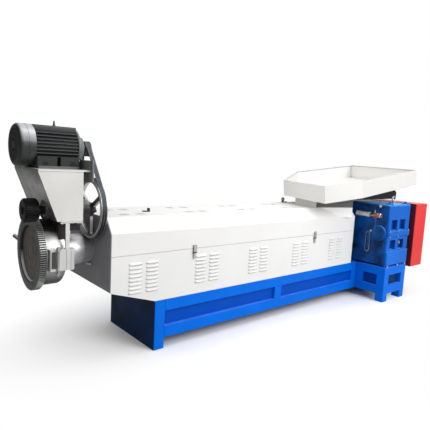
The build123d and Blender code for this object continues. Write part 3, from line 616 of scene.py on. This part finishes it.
bolt_x, bolt_y = -0.804, 0.306
core, root, crest, pitch, turns = 0.0085, 0.0092, 0.0102, 0.0022, 9
thread = [(0.0, core), (0.0, root)]
for start in pitch * np.arange(turns):
    thread += [(start + 0.0005, root), (start + 0.0011, crest), (start + 0.0017, root)]
thread += [(pitch * turns, core)]
washer = flat_ring(root, 0.019, 0.002)
rods = []
for y in (-bolt_y, bolt_y):
    rods += [turned(thread, (bolt_x, y, low), (0, 0, 1), 20) for low in (0.873, 0.733)]
    rods += [turned(washer, (bolt_x, y, low), (0, 0, 1), 28) for low in (0.892, 0.732)]
shape("swing_bolt_threads", together(*rods), bolt_steel)

rib_y, rib = -0.2975, flat_bar(0.008, 0.004)
ribs = [carried([(x, rib_y, 0.744), (x, rib_y, 0.892)], rib, (0, 1, 0)) for x in (-0.738, -0.706)]
shape("clamp_ribs", together(*ribs), milled, rounded=0.001)

# Belt drive
# Two cloth-covered V belts join a cast three-spoke pulley on the pinion shaft to a small one on the
# motor. Both have machined rims, and three screws hold the large one's hub.
wheel_iron = casting("pulley_iron", (0.040, 0.041, 0.042), (0.070, 0.058, 0.050), 0.36, 0.4)
from_shaft = wheel_iron.off_axis(shaft_y, shaft_z)
rim_cut = wheel_iron.rise(from_shaft, 0.2285, 0.2310)
wheel_iron.over(rim_cut * 0.85, bright_cut, 0.28, 1.0)
# A painted highlight ring on the rim's faces.
rim_highlight = wheel_iron.band(from_shaft, 0.2120, 0.2135, 0.2230, 0.2245)
wheel_iron.over(rim_highlight * 0.9, (0.60, 0.61, 0.62), 0.32, 0.3)
# The walls of the spoked windows are painted light as highlights.
window_wall_highlight = (1 - wheel_iron.facing("X", -1)) * (1 - wheel_iron.facing("X"))
window_wall_highlight = window_wall_highlight * wheel_iron.band(from_shaft, 0.060, 0.066, 0.2055, 0.2065)
wheel_iron.over(window_wall_highlight * 0.95, (0.66, 0.67, 0.68), 0.35, 0.3)
wear(wheel_iron, "large_pulley", edge=0.0012)
small_iron = casting("small_pulley_iron", (0.10, 0.105, 0.105), (0.065, 0.06, 0.055), 0.34, 0.5)
wear(small_iron, "motor_pulley", edge=0.001)

rubber = Finish("belt_cloth", Specular_IOR_Level=0.3)
threads = {"Vector": rubber.place(), "Scale": 190.0, "Distortion": 1.5}
weave = rubber.node("TexWave", {"bands_direction": "DIAGONAL"}, threads)
frayed = rubber.mottle(30.0, 4.0, (0.35, (0.042, 0.052, 0.072)), (0.75, (0.080, 0.092, 0.118)))
rubber.bump(weave * 0.5 + rubber.noise(400.0, 2.0) * 0.5, 0.15, 0.0005)
cloth = rubber.mix(weave * 0.25, frayed, (0.11, 0.12, 0.145))
rubber.coat(cloth, rubber.ramp(weave, (0.2, 0.5), (0.8, 0.7)))
rubber.over(rubber.tide(8.0, 3.0, 0.05, 1.28, 1.16), (0.010, 0.013, 0.015), 0.45)
wear(rubber, "v_belts")


def around(centre, radius, degrees):
    """Points round a line along X: centre plus radius times (0, cos, sin) of each angle."""
    t = np.radians(degrees)
    return centre + radius * np.stack([np.zeros(len(t)), np.cos(t), np.sin(t)], 1)


hub = (-0.464, shaft_y, shaft_z)
hub_screw = [(0, 0), (0, 0.011), (0.006, 0.011), (0.007, 0.010), (0.007, 0.006)]
hub_screw += [(0.003, 0.006), (0.003, 0)]
screws = [turned(hub_screw, spot, sides=16) for spot in around(hub, 0.034, (90, 210, 330))]
shape("pulley_hub_screws", together(*screws), small_iron, body="drive_shaft")

# Pedestal
# The pedestal is a box of thick ground plate, welded at its corners: a slanted plate to the left, a
# bolted foot flange below and the motor's plate on top, with an apron plate before the belts.
tint = (0.60, 0.59, 0.57)
ground = steel("ground_plate", (0.66, 0.65, 0.635), 0.38, (1, 1, 0.05), 0.03, tint, 0.45)
# The front faces are painted lighter as light.
ground_front = ground.facing("Y", -1) * ground.rise("Y", -0.25, -0.26)
painted_front_light = ground.mottle(5.0, 4.0, (0.3, (0.70, 0.69, 0.67)), (0.7, (0.63, 0.615, 0.59)))
ground.over(ground_front, painted_front_light, 0.42, 0.1)
slant = ground.facing("X", -1)
scale = ground.ramp(ground.noise(4.5, 5.0, 0.6), (0.46, 0.0), (0.68, 1.0)) * slant
# The slanted left-facing plate is painted darker as shade.
ground.over(slant * 0.45, (0.10, 0.10, 0.10), 0.42, 0.3)
ground.over(scale * 0.8, (0.060, 0.062, 0.061), 0.42, 0.4)
# Painted shade on the slanted plate just under the motor's plate.
shade_under_plate = ground.tide(6.0, 4.0, 0.08, 1.37, 1.47) * slant
ground.over(shade_under_plate * 0.7, (0.030, 0.031, 0.032), 0.4, 0.2)
# The slanted plate is darker towards the bottom.
low_slant_dark = ground.tide(9.0, 4.0, 0.08, 1.30, 1.20) * slant
ground.over(low_slant_dark * 0.85, (0.016, 0.018, 0.017), 0.4, 0.2)
# The apron faces left and is painted dark grey as shade.
apron = ground.rise("X", -0.568, -0.564)
ground.over(apron, (0.150, 0.150, 0.152), 0.45, 0.1)
apron_low = ground.tide(12.0, 4.0, 0.06, 1.10, 1.04) * apron
ground.over(apron_low * 0.7, (0.035, 0.026, 0.022), 0.5, 0.1)
wear(ground, "motor_stand", "stand_strut", edge=0.0018)
saddle_iron = casting("saddle_iron", (0.016, 0.013, 0.012), (0.034, 0.024, 0.019), 0.5, 0.1)
wear(saddle_iron, "stand_saddle", edge=0.002)


def grid(xs, ys, z):
    """Every pairing of the xs and ys, at one height."""
    return [(x, y, z) for x in xs for y in ys]


stand_half, plate_low, stand_foot = 0.265, 1.438, 1.086
seams = []
for y in (-stand_half, stand_half):
    down = [(-0.928, y, plate_low - 0.002), (-0.797, y, stand_foot + 0.002)]
    across_top = [(-0.926, y, plate_low), (-0.614, y, plate_low)]
    across_foot = [(-0.772, y * 0.996, stand_foot), (-0.618, y * 0.996, stand_foot)]
    for seam, up in ((down, (0, 1, 0)), (across_top, (0, 0, 1)), (across_foot, (0, 0, 1))):
        seams.append(weld_bead(seam, up, 0.004, 0.009))
shape("pedestal_welds", together(*seams), ground, smooth=True)
foot_bolts = grid((-0.755, -0.640), (-0.250, 0.250), 1.072)
foot_bolt = bolt(0.017, 0.010, (0, 0, -1))
bolted("pedestal_foot_bolts", foot_bolt, foot_bolts, bolt_steel)

# Shaft bearings
# Round cast housings with chamfered ends hold the shaft in the pedestal. Four cap screws sit in the
# outer face of each, and a grease nipple stands on the right one.
bearing_iron = casting("bearing_iron", (0.040, 0.038, 0.038), (0.066, 0.055, 0.048), 0.36, 0.2)
# A painted highlight along the upper edge of each housing's rim.
edge_highlight = bearing_iron.rise(bearing_iron.off_axis(shaft_y, shaft_z), 0.0665, 0.0690)
bearing_iron.over(edge_highlight * bearing_iron.facing("Z") * 0.7, (0.42, 0.42, 0.41), 0.35, 0.8)
wear(bearing_iron, "shaft_bearings", edge=0.0015)
quarters = (45, 135, 225, 315)
socket = [(0, 0), (0, 0.0065), (-0.0055, 0.0065), (-0.0065, 0.0055), (-0.0065, 0.0034)]
socket = np.array(socket + [(-0.0030, 0.0034), (-0.0030, 0)])
caps = []
for face, way in ((-0.850, 1), (-0.520, -1)):
    for spot in around((face, shaft_y, shaft_z), 0.050, quarters):
        caps.append(turned(socket * (way, 1), spot, sides=16))
nipple = [(0, 0), (0, 0.004), (0.004, 0.004), (0.006, 0.0022), (0.009, 0.0028)]
nipple += [(0.010, 0.0015), (0.010, 0)]
caps.append(turned(nipple, (-0.560, shaft_y, shaft_z + 0.0695), (0, 0, 1), 12))
shape("bearing_screws", together(*caps), bolt_steel)

# Motor
# A foot-mounted motor in grey-green paint. Its finned body carries a terminal pad on top and an
# eye bolt to lift it by; recessed bolts hold its feet to the pedestal.
motor_z = 1.605
sage = casting("motor_paint", (0.026, 0.032, 0.032), (0.034, 0.040, 0.038), 0.36, 0.0, 0.1)
sage.put(Specular_IOR_Level=0.25)
from_motor, motor_side = sage.off_axis(0.0, motor_z), sage.facing("Y", -1)
# Painted shade between the fins.
shade_between_fins = sage.rise(from_motor, 0.1395, 0.1335) * sage.rise("X", -0.902, -0.898)
sage.over(shade_between_fins * 0.85, (0.010, 0.012, 0.012), 0.6)
# The fin tips on the front are painted lighter as a highlight.
fin_highlight = sage.rise(from_motor, 0.1440, 0.1470) * motor_side
sage.over(fin_highlight * 0.8, (0.055, 0.063, 0.062), 0.4)
# The front of the feet is painted darker as shade.
shaded_foot = sage.rise("Z", 1.540, 1.534) * motor_side
sage.over(shaded_foot * 0.9, (0.017, 0.020, 0.020), 0.5)
# A painted highlight along the feet's lower edge.
foot_edge_highlight = shaded_foot * sage.rise("Z", 1.4705, 1.4680)
sage.over(foot_edge_highlight * 0.9, (0.13, 0.14, 0.14), 0.45)
wear(sage, "motor_stator", edge=0.0012)
eye_x, eye_z = -0.730, 1.7788
hoop = turned(ring(0.0055, 12) + (0, 0.012), (eye_x, 0, eye_z), (-0.900, 0.436, 0), 36)
eye_stem = [(0, 0), (0, 0.017), (0.004, 0.017), (0.007, 0.010), (0.017, 0.008), (0.017, 0)]
eye_stem = turned(eye_stem, (eye_x, 0, 1.753), (0, 0, 1), 24)
eye = together(hoop, eye_stem)
eye = shape("lifting_eye", eye, small_iron, rounded=0.0006)
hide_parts("motor_eye_bolt")

foot_x, foot_face, foot_z = (-0.839, -0.650), 0.156, 1.486
pocket = [(0, 0), (0, 0.017), (0.0035, 0.017), (0.0035, 0.0135), (0.0008, 0.0125), (0.0008, 0)]
pockets, pocket_bolts = [], []
for side in (-1, 1):
    places = grid(foot_x, (side * foot_face,), foot_z)
    pockets += [turned(pocket, place, (0, side, 0), 24) for place in places]
    pocket_bolts.append(copies(*bolt(0.014, 0.0045, (0, side, 0), 0.001), places))
shape("motor_foot_pockets", together(*pockets), black)
shape("motor_foot_bolts", together(*pocket_bolts), black)
pad_left, pad_right, pad_half, pad_low, pad_high = -0.892, -0.603, 0.0765, 1.7425, 1.7475
pad = [(pad_left, -pad_half, 0), (pad_right, -pad_half, 0)]
pad = eased(pad + [(pad_right, pad_half, 0), (pad_left, pad_half, 0)], 0.012, True)
gasket = carried([(0, 0, pad_low), (0, 0, pad_high)], pad[:, [1, 0]], (1, 0, 0))
shape("terminal_gasket", gasket, small_iron)

# Motor fan cowl
# A cowl of pressed sheet with a rolled waist covers the fan. Its end is a grille of rings on four
# spokes. Behind it the fan's disc and eight dark blades turn with the motor's shaft.
silver = casting("cowl_paint", (0.44, 0.45, 0.465), (0.50, 0.50, 0.52), 0.30, 0.45, 0.06)
# The lower part is painted dark as a reflection.
silver.over(silver.tide(7.0, 3.0, 0.04, 1.725, 1.640), (0.036, 0.038, 0.038), 0.36, 0.2)
# The grille end is painted near black as shade.
end_face_shade = silver.rise("X", -0.990, -1.002)
silver.over(end_face_shade, (0.012, 0.013, 0.013), 0.42)

cowl_left, cowl_radius, cowl_length, sheet, fold = -1.012, 0.152, 0.112, 0.0025, 0.030
cowl_end = np.array([cowl_left, 0, motor_z])


def folded_edge(radius, t):
    """A quarter circle of a radius, from the cowl's side round to its end, as (along, radius)."""
    bend = cowl_radius - fold
    return np.stack([fold - radius * np.sin(t), bend + radius * np.cos(t)], 1)


t = np.linspace(0, np.pi / 2, 9)
inside, sunk_waist = cowl_radius - sheet, cowl_radius - 0.003
skin = [(cowl_length, inside), (cowl_length, cowl_radius)]
skin += [(0.068, cowl_radius), (0.066, sunk_waist), (0.060, sunk_waist), (0.058, cowl_radius)]
skin = np.concatenate([skin, folded_edge(fold, t), folded_edge(fold - sheet, t[::-1])])
grille = [turned(skin, cowl_end, sides=96)]
for r in (0.112, 0.098, 0.084, 0.070, 0.056, 0.042):
    grille.append(turned(flat_ring(r, r + 0.007, sheet), cowl_end, sides=72))
grille.append(turned(flat_ring(0, 0.030, sheet), cowl_end, sides=48))
middle = cowl_end + (0.0032, 0, 0)
for way in around((0, 0, 0), 1, quarters):
    spoke = [middle + way * 0.024, middle + way * 0.124]
    grille.append(carried(spoke, flat_bar(0.010, 0.0024), (1, 0, 0)))
cowl = shape("fan_cowl", together(*grille), silver)
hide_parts("motor_fan_cowl")
blades = [turned(flat_ring(0, 0.135, 0.004), cowl_end + (0.050, 0, 0), sides=64)]
middle = cowl_end + (0.034, 0, 0)
for way in around((0, 0, 0), 1, np.arange(0, 360, 45)):
    blade = [middle + way * 0.030, middle + way * 0.125]
    blades.append(carried(blade, flat_bar(0.003, 0.034), (1, 0, 0)))
shape("cooling_fan", together(*blades), black, body="motor_rotor")

# Motor end bell
# The drive end is a turned casting in the same paint, worn paler. Four long screws hold it to the
# finned body.
bell_paint = casting("bell_paint", (0.11, 0.125, 0.122), (0.15, 0.165, 0.16), 0.36, 0.1, 0.1)
wear(bell_paint, "motor_end_bell", edge=0.002)
bell_screws = around((-0.5812, 0, motor_z), 0.126, quarters)
bell_screw = bolt(0.013, 0.008, (1, 0, 0))
bolted("end_bell_screws", bell_screw, bell_screws, bolt_steel)

# Gearbox
# A cast housing in two halves and a domed cover, sprayed blue like the base. Hexagon bolts close
# the thick flange and hold the box down, and a bright drain plug sits in one sunk window.
box_blue = enamel("gearbox_enamel", (0.005, 0.140, 0.60), 0.30, 0.20, primer, shine=0.10)
# The sunk windows' faces are painted darker as shade.
box_window_shade = box_blue.rise("Y", -0.74, -0.72) * box_blue.facing("Y", -1) ** 4
box_blue.over(box_window_shade * 0.8, (0.003, 0.030, 0.20), 0.4)
left_shade = box_blue.mottle(6.0, 5.0, (0.35, 0.35), (0.65, 0.97)) * box_blue.facing("X", -1) ** 3
left_shade = left_shade * box_blue.rise("Y", -0.790, -0.690)
box_blue.over(left_shade, (0.006, 0.016, 0.040), 0.36)
upper_front = box_blue.rise("Z", 0.605, 0.612) * box_blue.facing("Y", -1) ** 2
box_blue.over(upper_front * 0.35, (0.003, 0.075, 0.40), 0.3)
# Faces that look up are painted light cyan in patches as highlights.
top_highlight = box_blue.facing("Z") ** 1.5 * box_blue.mottle(26.0, 3.0, (0.4, 0.3), (0.7, 0.8))
box_blue.over(top_highlight * 0.8, (0.10, 0.50, 0.86), 0.3)
wear(box_blue, "gearbox_lower_housing", "gearbox_upper_housing", edge=0.004)
wear(box_blue, "gearbox_cover", "gearbox_output_housing", edge=0.004)

box_left, box_front, box_back = 2.88, -0.755, 0.29
flange_x = (2.912, 3.105, 3.345)
flange_y = (box_front - 0.0095, box_back + 0.0095)
heads = copies(*bolt(0.015, 0.011, (0, 0, 1)), grid(flange_x, flange_y, 0.848))
nuts = copies(*bolt(0.015, 0.011, (0, 0, -1)), grid(flange_x, flange_y, 0.792))
shape("flange_bolts", together(heads, nuts), zinc)
standing = grid((2.932, 3.171, 3.350), (box_front - 0.001, box_back + 0.001), 0.420)
foot_bolt = bolt(0.022, 0.020, (0, 0, 1), 0.003)
bolted("gearbox_foot_bolts", foot_bolt, standing, zinc)
boss, plug_x, plug_y, plug_z = 0.020, 3.179, -0.709, 0.703
plug_boss = [(0, 0), (0, 0.030), (0.018, 0.027), (boss, 0.025), (boss, 0)]
plug_boss = turned(plug_boss, (plug_x, plug_y, plug_z), (0, -1, 0), 32)
plug_head = copies(*bolt(0.034, 0.020, (0, -1, 0), 0.003), [(plug_x, plug_y - boss, plug_z)])
shape("drain_plug", together(plug_boss, plug_head), zinc)
cover_bolts = grid((2.942, 3.318), (-0.709, 0.244), 1.178)
bolted("cover_bolts", bolt(0.026, 0.014, (0, 0, 1), 0.003), cover_bolts, box_blue)
stain = (0.66, 0.66, 0.66)
tube_steel = steel("cooler_tube_steel", (0.78, 0.78, 0.79), 0.36, (1, 0.1, 1), 0.04, stain, 0.5)
side_bolts = grid((box_left,), (-0.631, 0.150), 1.140)
big_side_bolt = bolt(0.024, 0.016, (-1, 0, 0), 0.003)
bolted("cover_side_bolts", big_side_bolt, side_bolts, tube_steel)
cap_screws = around((box_left - 0.022, -0.640, 0.820), 0.070, np.arange(30, 360, 60))
bolted("bearing_cap_screws", bolt(0.013, 0.007, (-1, 0, 0)), cap_screws, box_blue)
wear(bright, "gearbox_eye_bolt")

# Oil line
# On the gearbox's left face a bright cooler tube leads to a brass union and a red valve with a
# bright rim. A thin steel pipe drops from it to the sight loop's knob.
wear(tube_steel, "oil_cooler_tube", edge=0.0015)
pipe_steel = steel("sight_loop_steel", (0.16, 0.18, 0.21), 0.32, (1, 1, 1), 0.05)
wear(pipe_steel, "oil_sight_loop", edge=0.0015)
brass = steel("brass_union", (0.40, 0.34, 0.17), 0.30, (1, 0.2, 1), 0.08, (0.26, 0.25, 0.15))
wear(brass, "oil_valve", edge=0.001)

oil_x, oil_z, pipe_y = 2.838, 1.030, -0.606
valve_start = (oil_x, -0.612, oil_z)
valve_red = enamel("valve_enamel", (0.60, 0.13, 0.16), 0.30, 0.2, (0.5, 0.45, 0.42))
body = [(0, 0), (0, 0.026), (0.010, 0.029), (0.046, 0.029), (0.052, 0.024), (0.052, 0)]
body = turned(body, valve_start, (0, -1, 0), 32)
shape("valve_body", body, valve_red, rounded=0.001)
rim = [(0.046, 0.0), (0.046, 0.031), (0.058, 0.031), (0.062, 0.026), (0.060, 0.018), (0.056, 0.0)]
shape("valve_rim", turned(rim, valve_start, (0, -1, 0), 32), zinc)
nut = carried([(oil_x, 0, oil_z), (oil_x, -0.016, oil_z)], ring(0.0325, 6))
nuts = copies(*nut, [(0, -0.356, 0), (0, -0.508, 0)])
shape("cooler_tube_nuts", nuts, tube_steel, rounded=0.001)
drop = [(oil_x, pipe_y, 1.010), (oil_x, pipe_y, 0.850), (box_left + 0.004, -0.600, 0.838)]
pipe = [carried(eased(drop, 0.020), ring(0.0036, 10), (0, 1, 0))]
for outer, thick, low in ((0.016, 0.020, 0.985), (0.011, 0.014, 0.963)):
    pipe.append(turned(flat_ring(0, outer, thick), (oil_x, pipe_y, low), (0, 0, 1), 16))
shape("oil_drop_pipe", together(*pipe), pipe_steel, rounded=0.0006)
knob = [(0, 0), (0, 0.009), (0.010, 0.009), (0.012, 0.014), (0.022, 0.014), (0.025, 0.010)]
knob = turned(knob + [(0.025, 0)], (box_left, -0.545, 0.835), (-1, 0, 0), 20)
shape("sight_knob", knob, zinc, rounded=0.001)

# Belt guard
# A tall closed case of folded red sheet on four arms. Flat straps lie along its folded front
# corners and round-headed screws hold them.
red = enamel("guard_enamel", (0.71, 0.040, 0.037), 0.32, 0.25, (0.30, 0.03, 0.03), 0.03, 0.16)
guard_shade = red.mottle(3.0, 3.0, (0.3, 0.85), (0.7, 0.97)) * red.facing("X", -1) ** 2
red.over(guard_shade, (0.018, 0.009, 0.014), 0.4)
wear(red, "belt_guard", edge=0.004)
guard_front, guard_back, sunk_by = -0.800, 0.300, 0.0031
rows = [(x, 0, z) for x in (3.448, 3.706) for z in np.linspace(0.43, 1.11, 6)]
heads = []
for y, way in ((guard_front + sunk_by, -1), (guard_back - sunk_by, 1)):
    screw = turned(dome(0.0065, 0.0030), (0, y, 0), (0, way, 0), 14)
    heads.append(copies(*screw, rows))
shape("guard_screws", together(*heads), red, smooth=True)

# Feed tray
# An open tray of folded cream sheet, turned and tilted down toward its mouth. Its rim is rolled
# over a rod on the inside, and its corners are welded. A neck carries it on the hood, and a short
# rusty stay on the lid ends below its far left corner.
tray_primer = (0.38, 0.36, 0.33)
cream = enamel("tray_enamel", (0.67, 0.66, 0.635), 0.36, 0.2, tray_primer, 0.02)
# Faces that look up are painted lighter as light.
cream.over(cream.facing("Z") * 0.8, (0.75, 0.75, 0.75), 0.4)
# Faces that look left are painted much lighter as light.
cream.over(cream.facing("X", -1), (0.95, 0.935, 0.90), 0.4)
wear(cream, "feed_tray")
ivory = enamel("neck_enamel", (0.90, 0.885, 0.85), 0.36, 0.2, tray_primer, 0.02)
above_hood = ivory.rise("Z", hood_top - 0.001, hood_top + 0.002)
# The neck's front above the hood is painted near black as shade under the tray.
painted_side_shade = ivory.facing("Y", -1) ** 4 * above_hood
ivory.over(painted_side_shade, (0.004, 0.005, 0.006), 0.55)
wear(ivory, "tray_neck")
rust = casting("brown_iron", (0.055, 0.030, 0.022), (0.11, 0.062, 0.045), 0.55, 0.1)
wear(rust, "tray_stay")

turn, rise, lean = np.radians((-16.4, 7.6, 1.3))
along = np.array([np.cos(turn), np.sin(turn), np.tan(rise)])
along /= np.linalg.norm(along)
tray_up = np.cross(along, (-np.sin(turn), np.cos(turn), np.tan(lean)))
tray_up /= np.linalg.norm(tray_up)
tray_side = np.cross(tray_up, along)
near_edge, far_edge, high_end = -0.803, 0.670, 1.634
outline = [(0, 0), (0, near_edge), (0.507, near_edge), (high_end, -0.517), (high_end, far_edge)]
outline = np.array(outline + [(0.660, far_edge)])


def inset(corners, step):
    """A closed outline moved inward by step: each corner is where its two moved sides cross."""
    way = np.roll(corners, -1, 0) - corners
    way /= np.linalg.norm(way, axis=1)[:, None]
    inward = np.stack([-way[:, 1], way[:, 0]], 1)
    before, into = np.roll(way, 1, 0), np.roll(inward, 1, 0)
    bend = (into + inward) / (1 + (into * inward).sum(1))[:, None]
    return corners + bend * step


def on_tray(flat, depth):
    """Points of the tray's own plane, at a depth under its rim."""
    return (2.15, 0.262, 1.38) + flat[:, :1] * along + flat[:, 1:] * tray_side - depth * tray_up


rod = eased(on_tray(inset(outline, 0.0090), 0.0052), 0.012, True)
rod = carried(rod, ring(0.0050, 10), tray_up, True)
rim_grey = enamel("rim_enamel", (0.46, 0.455, 0.44), 0.36, 0.2, tray_primer, 0.02)
shape("tray_rim_rod", rod, rim_grey, smooth=True)
weld_high, weld_low = 0.012, 0.182
corner_beads = []
for inner, outward in zip(inset(outline, 0.0052)[:, None], outline - outline.mean(0)):
    out = along * outward[0] + tray_side * outward[1]
    line = np.concatenate([on_tray(inner, weld_high), on_tray(inner, weld_low)])
    corner_beads.append(weld_bead(line, out, 0.003, 0.007))
shape("tray_corner_welds", together(*corner_beads), cream, smooth=True)

# Tray support
# A closed box of plate, welded at its edges, is fixed under the tray's high end. It stiffens the
# tray over the gearbox. Its near-black colour is painted shade under the tray.
support_shade_paint = enamel("support_shade_paint", (0.018, 0.018, 0.020), 0.38, 0.35, (0.16, 0.15, 0.14))
wear(support_shade_paint, "tray_support", edge=0.004)

# Camera
# It stands at the operator's side, a little left of the die head, at eye height, and looks along
# the machine, slightly down.
yaw, pitch, roll = np.radians((49.6616, 7.0494, 2.9647))
ahead = np.array([np.cos(pitch) * np.cos(yaw), np.cos(pitch) * np.sin(yaw), -np.sin(pitch)])
right = np.cross(ahead, (0, 0, 1))
right /= np.linalg.norm(right)
above = np.cross(right, ahead)
tilted = right * np.cos(roll) + above * np.sin(roll)
upright = above * np.cos(roll) - right * np.sin(roll)


def standing_at(made, across, up, back, place):
    """Place an object by its own three axes and its position."""
    bpy.context.scene.collection.objects.link(made)
    axes = np.c_[np.stack([across, up, back], 1), place].tolist()
    made.matrix_world = Matrix(axes + [[0, 0, 0, 1]])


camera = bpy.data.objects.new("camera", bpy.data.cameras.new("camera"))
standing_at(camera, tilted, upright, -ahead, (-1.87583, -3.22262, 1.55726))
camera.data.sensor_width, camera.data.lens = 36.0, 35.965
bpy.context.scene.camera = camera

# Lamps
# Two large soft lamps light the machine: the key stands far out on the operator's side and the
# other hangs overhead.


def lamp(name, place, target, size, watts):
    """A square area lamp that looks at a target."""
    light = bpy.data.lights.new(name, "AREA")
    light.size, light.energy = size, watts
    look = np.asarray(target, float) - place
    look /= np.linalg.norm(look)
    side = np.cross(look, (0, 0, 1))
    side /= np.linalg.norm(side)
    standing_at(bpy.data.objects.new(name, light), side, np.cross(side, look), -look, place)


lamp("key", (3.4, -6.5, 4.6), (1.0, 0.0, 0.8), 4.0, 385)
lamp("top", (2.2, -1.2, 5.5), (1.4, 0.0, 0.0), 4.0, 125)

# Floor
# A wide pale sheet keeps the machine's shadow and fades to white far away. It throws back less
# light than the camera sees in it.
pale = Finish("floor", Roughness=0.9, Specular_IOR_Level=0.0)
seen = pale.node("LightPath", output=0)
pale.put(Base_Color=pale.mix(seen, (0.50, 0.50, 0.50), (0.90, 0.90, 0.90)))
away = pale.vector("SUBTRACT", pale.place((1, 2, 0)), (1.6, 0, 0))
fade = pale.rise(pale.vector("LENGTH", away, output=1), 1.7, 3.0)
matt = Wire(pale, pale.shader.outputs[0])
glow = pale.node("Emission", {}, {"Color": (1.0, 1.0, 1.0), "Strength": 1.0})
both = pale.node("MixShader", {}, {0: fade * seen, 1: matt, 2: glow})
pale.plug(pale.tree.nodes["Material Output"].inputs[0], both)
edge = np.c_[ring(40, 96) + (1.4, 0), np.zeros(96)]
floor_mesh = bpy.data.meshes.new("floor")
floor_mesh.from_pydata(edge.tolist(), [], [list(range(96))])
floor_mesh.materials.append(pale.made)
floor = bpy.data.objects.new("floor", floor_mesh)
bpy.context.scene.collection.objects.link(floor)

# Room
# The room is white to the camera, to gloss and to glass, except that gloss sees a dark wall behind
# the die head. It lights the machine softly, most from that side.
room = bpy.data.worlds.new("room")
bpy.context.scene.world = room
room.use_nodes = True
air = Shading(room.node_tree)
toward_wall = air.vector("DOT_PRODUCT", air.node("TexCoord"), (-0.94, 0.34, 0.0), 1)
near_wall = {"Value": toward_wall, "From Min": -0.2, "From Max": 0.65}
wall = air.node("MapRange", {"interpolation_type": "SMOOTHSTEP"}, near_wall)
shine = air.node("MapRange", {}, {"Value": wall, "To Min": 1.0, "To Max": 0.12})
sees = air.node("MapRange", {}, {"Value": wall, "To Min": 0.53, "To Max": 0.80})
for ray, light in (("Glossy", shine), ("Transmission", 1.0), ("Camera", 1.0)):
    this_ray = air.node("LightPath", output=f"Is {ray} Ray")
    sees = air.node("Mix", {"data_type": "FLOAT"}, {0: this_ray, 2: sees, 3: light})
background = air.tree.nodes["Background"].inputs
air.plug(background["Strength"], sees)
air.plug(background["Color"], (1.0, 1.0, 1.0))
bpy.context.scene.view_settings.view_transform = "Standard"
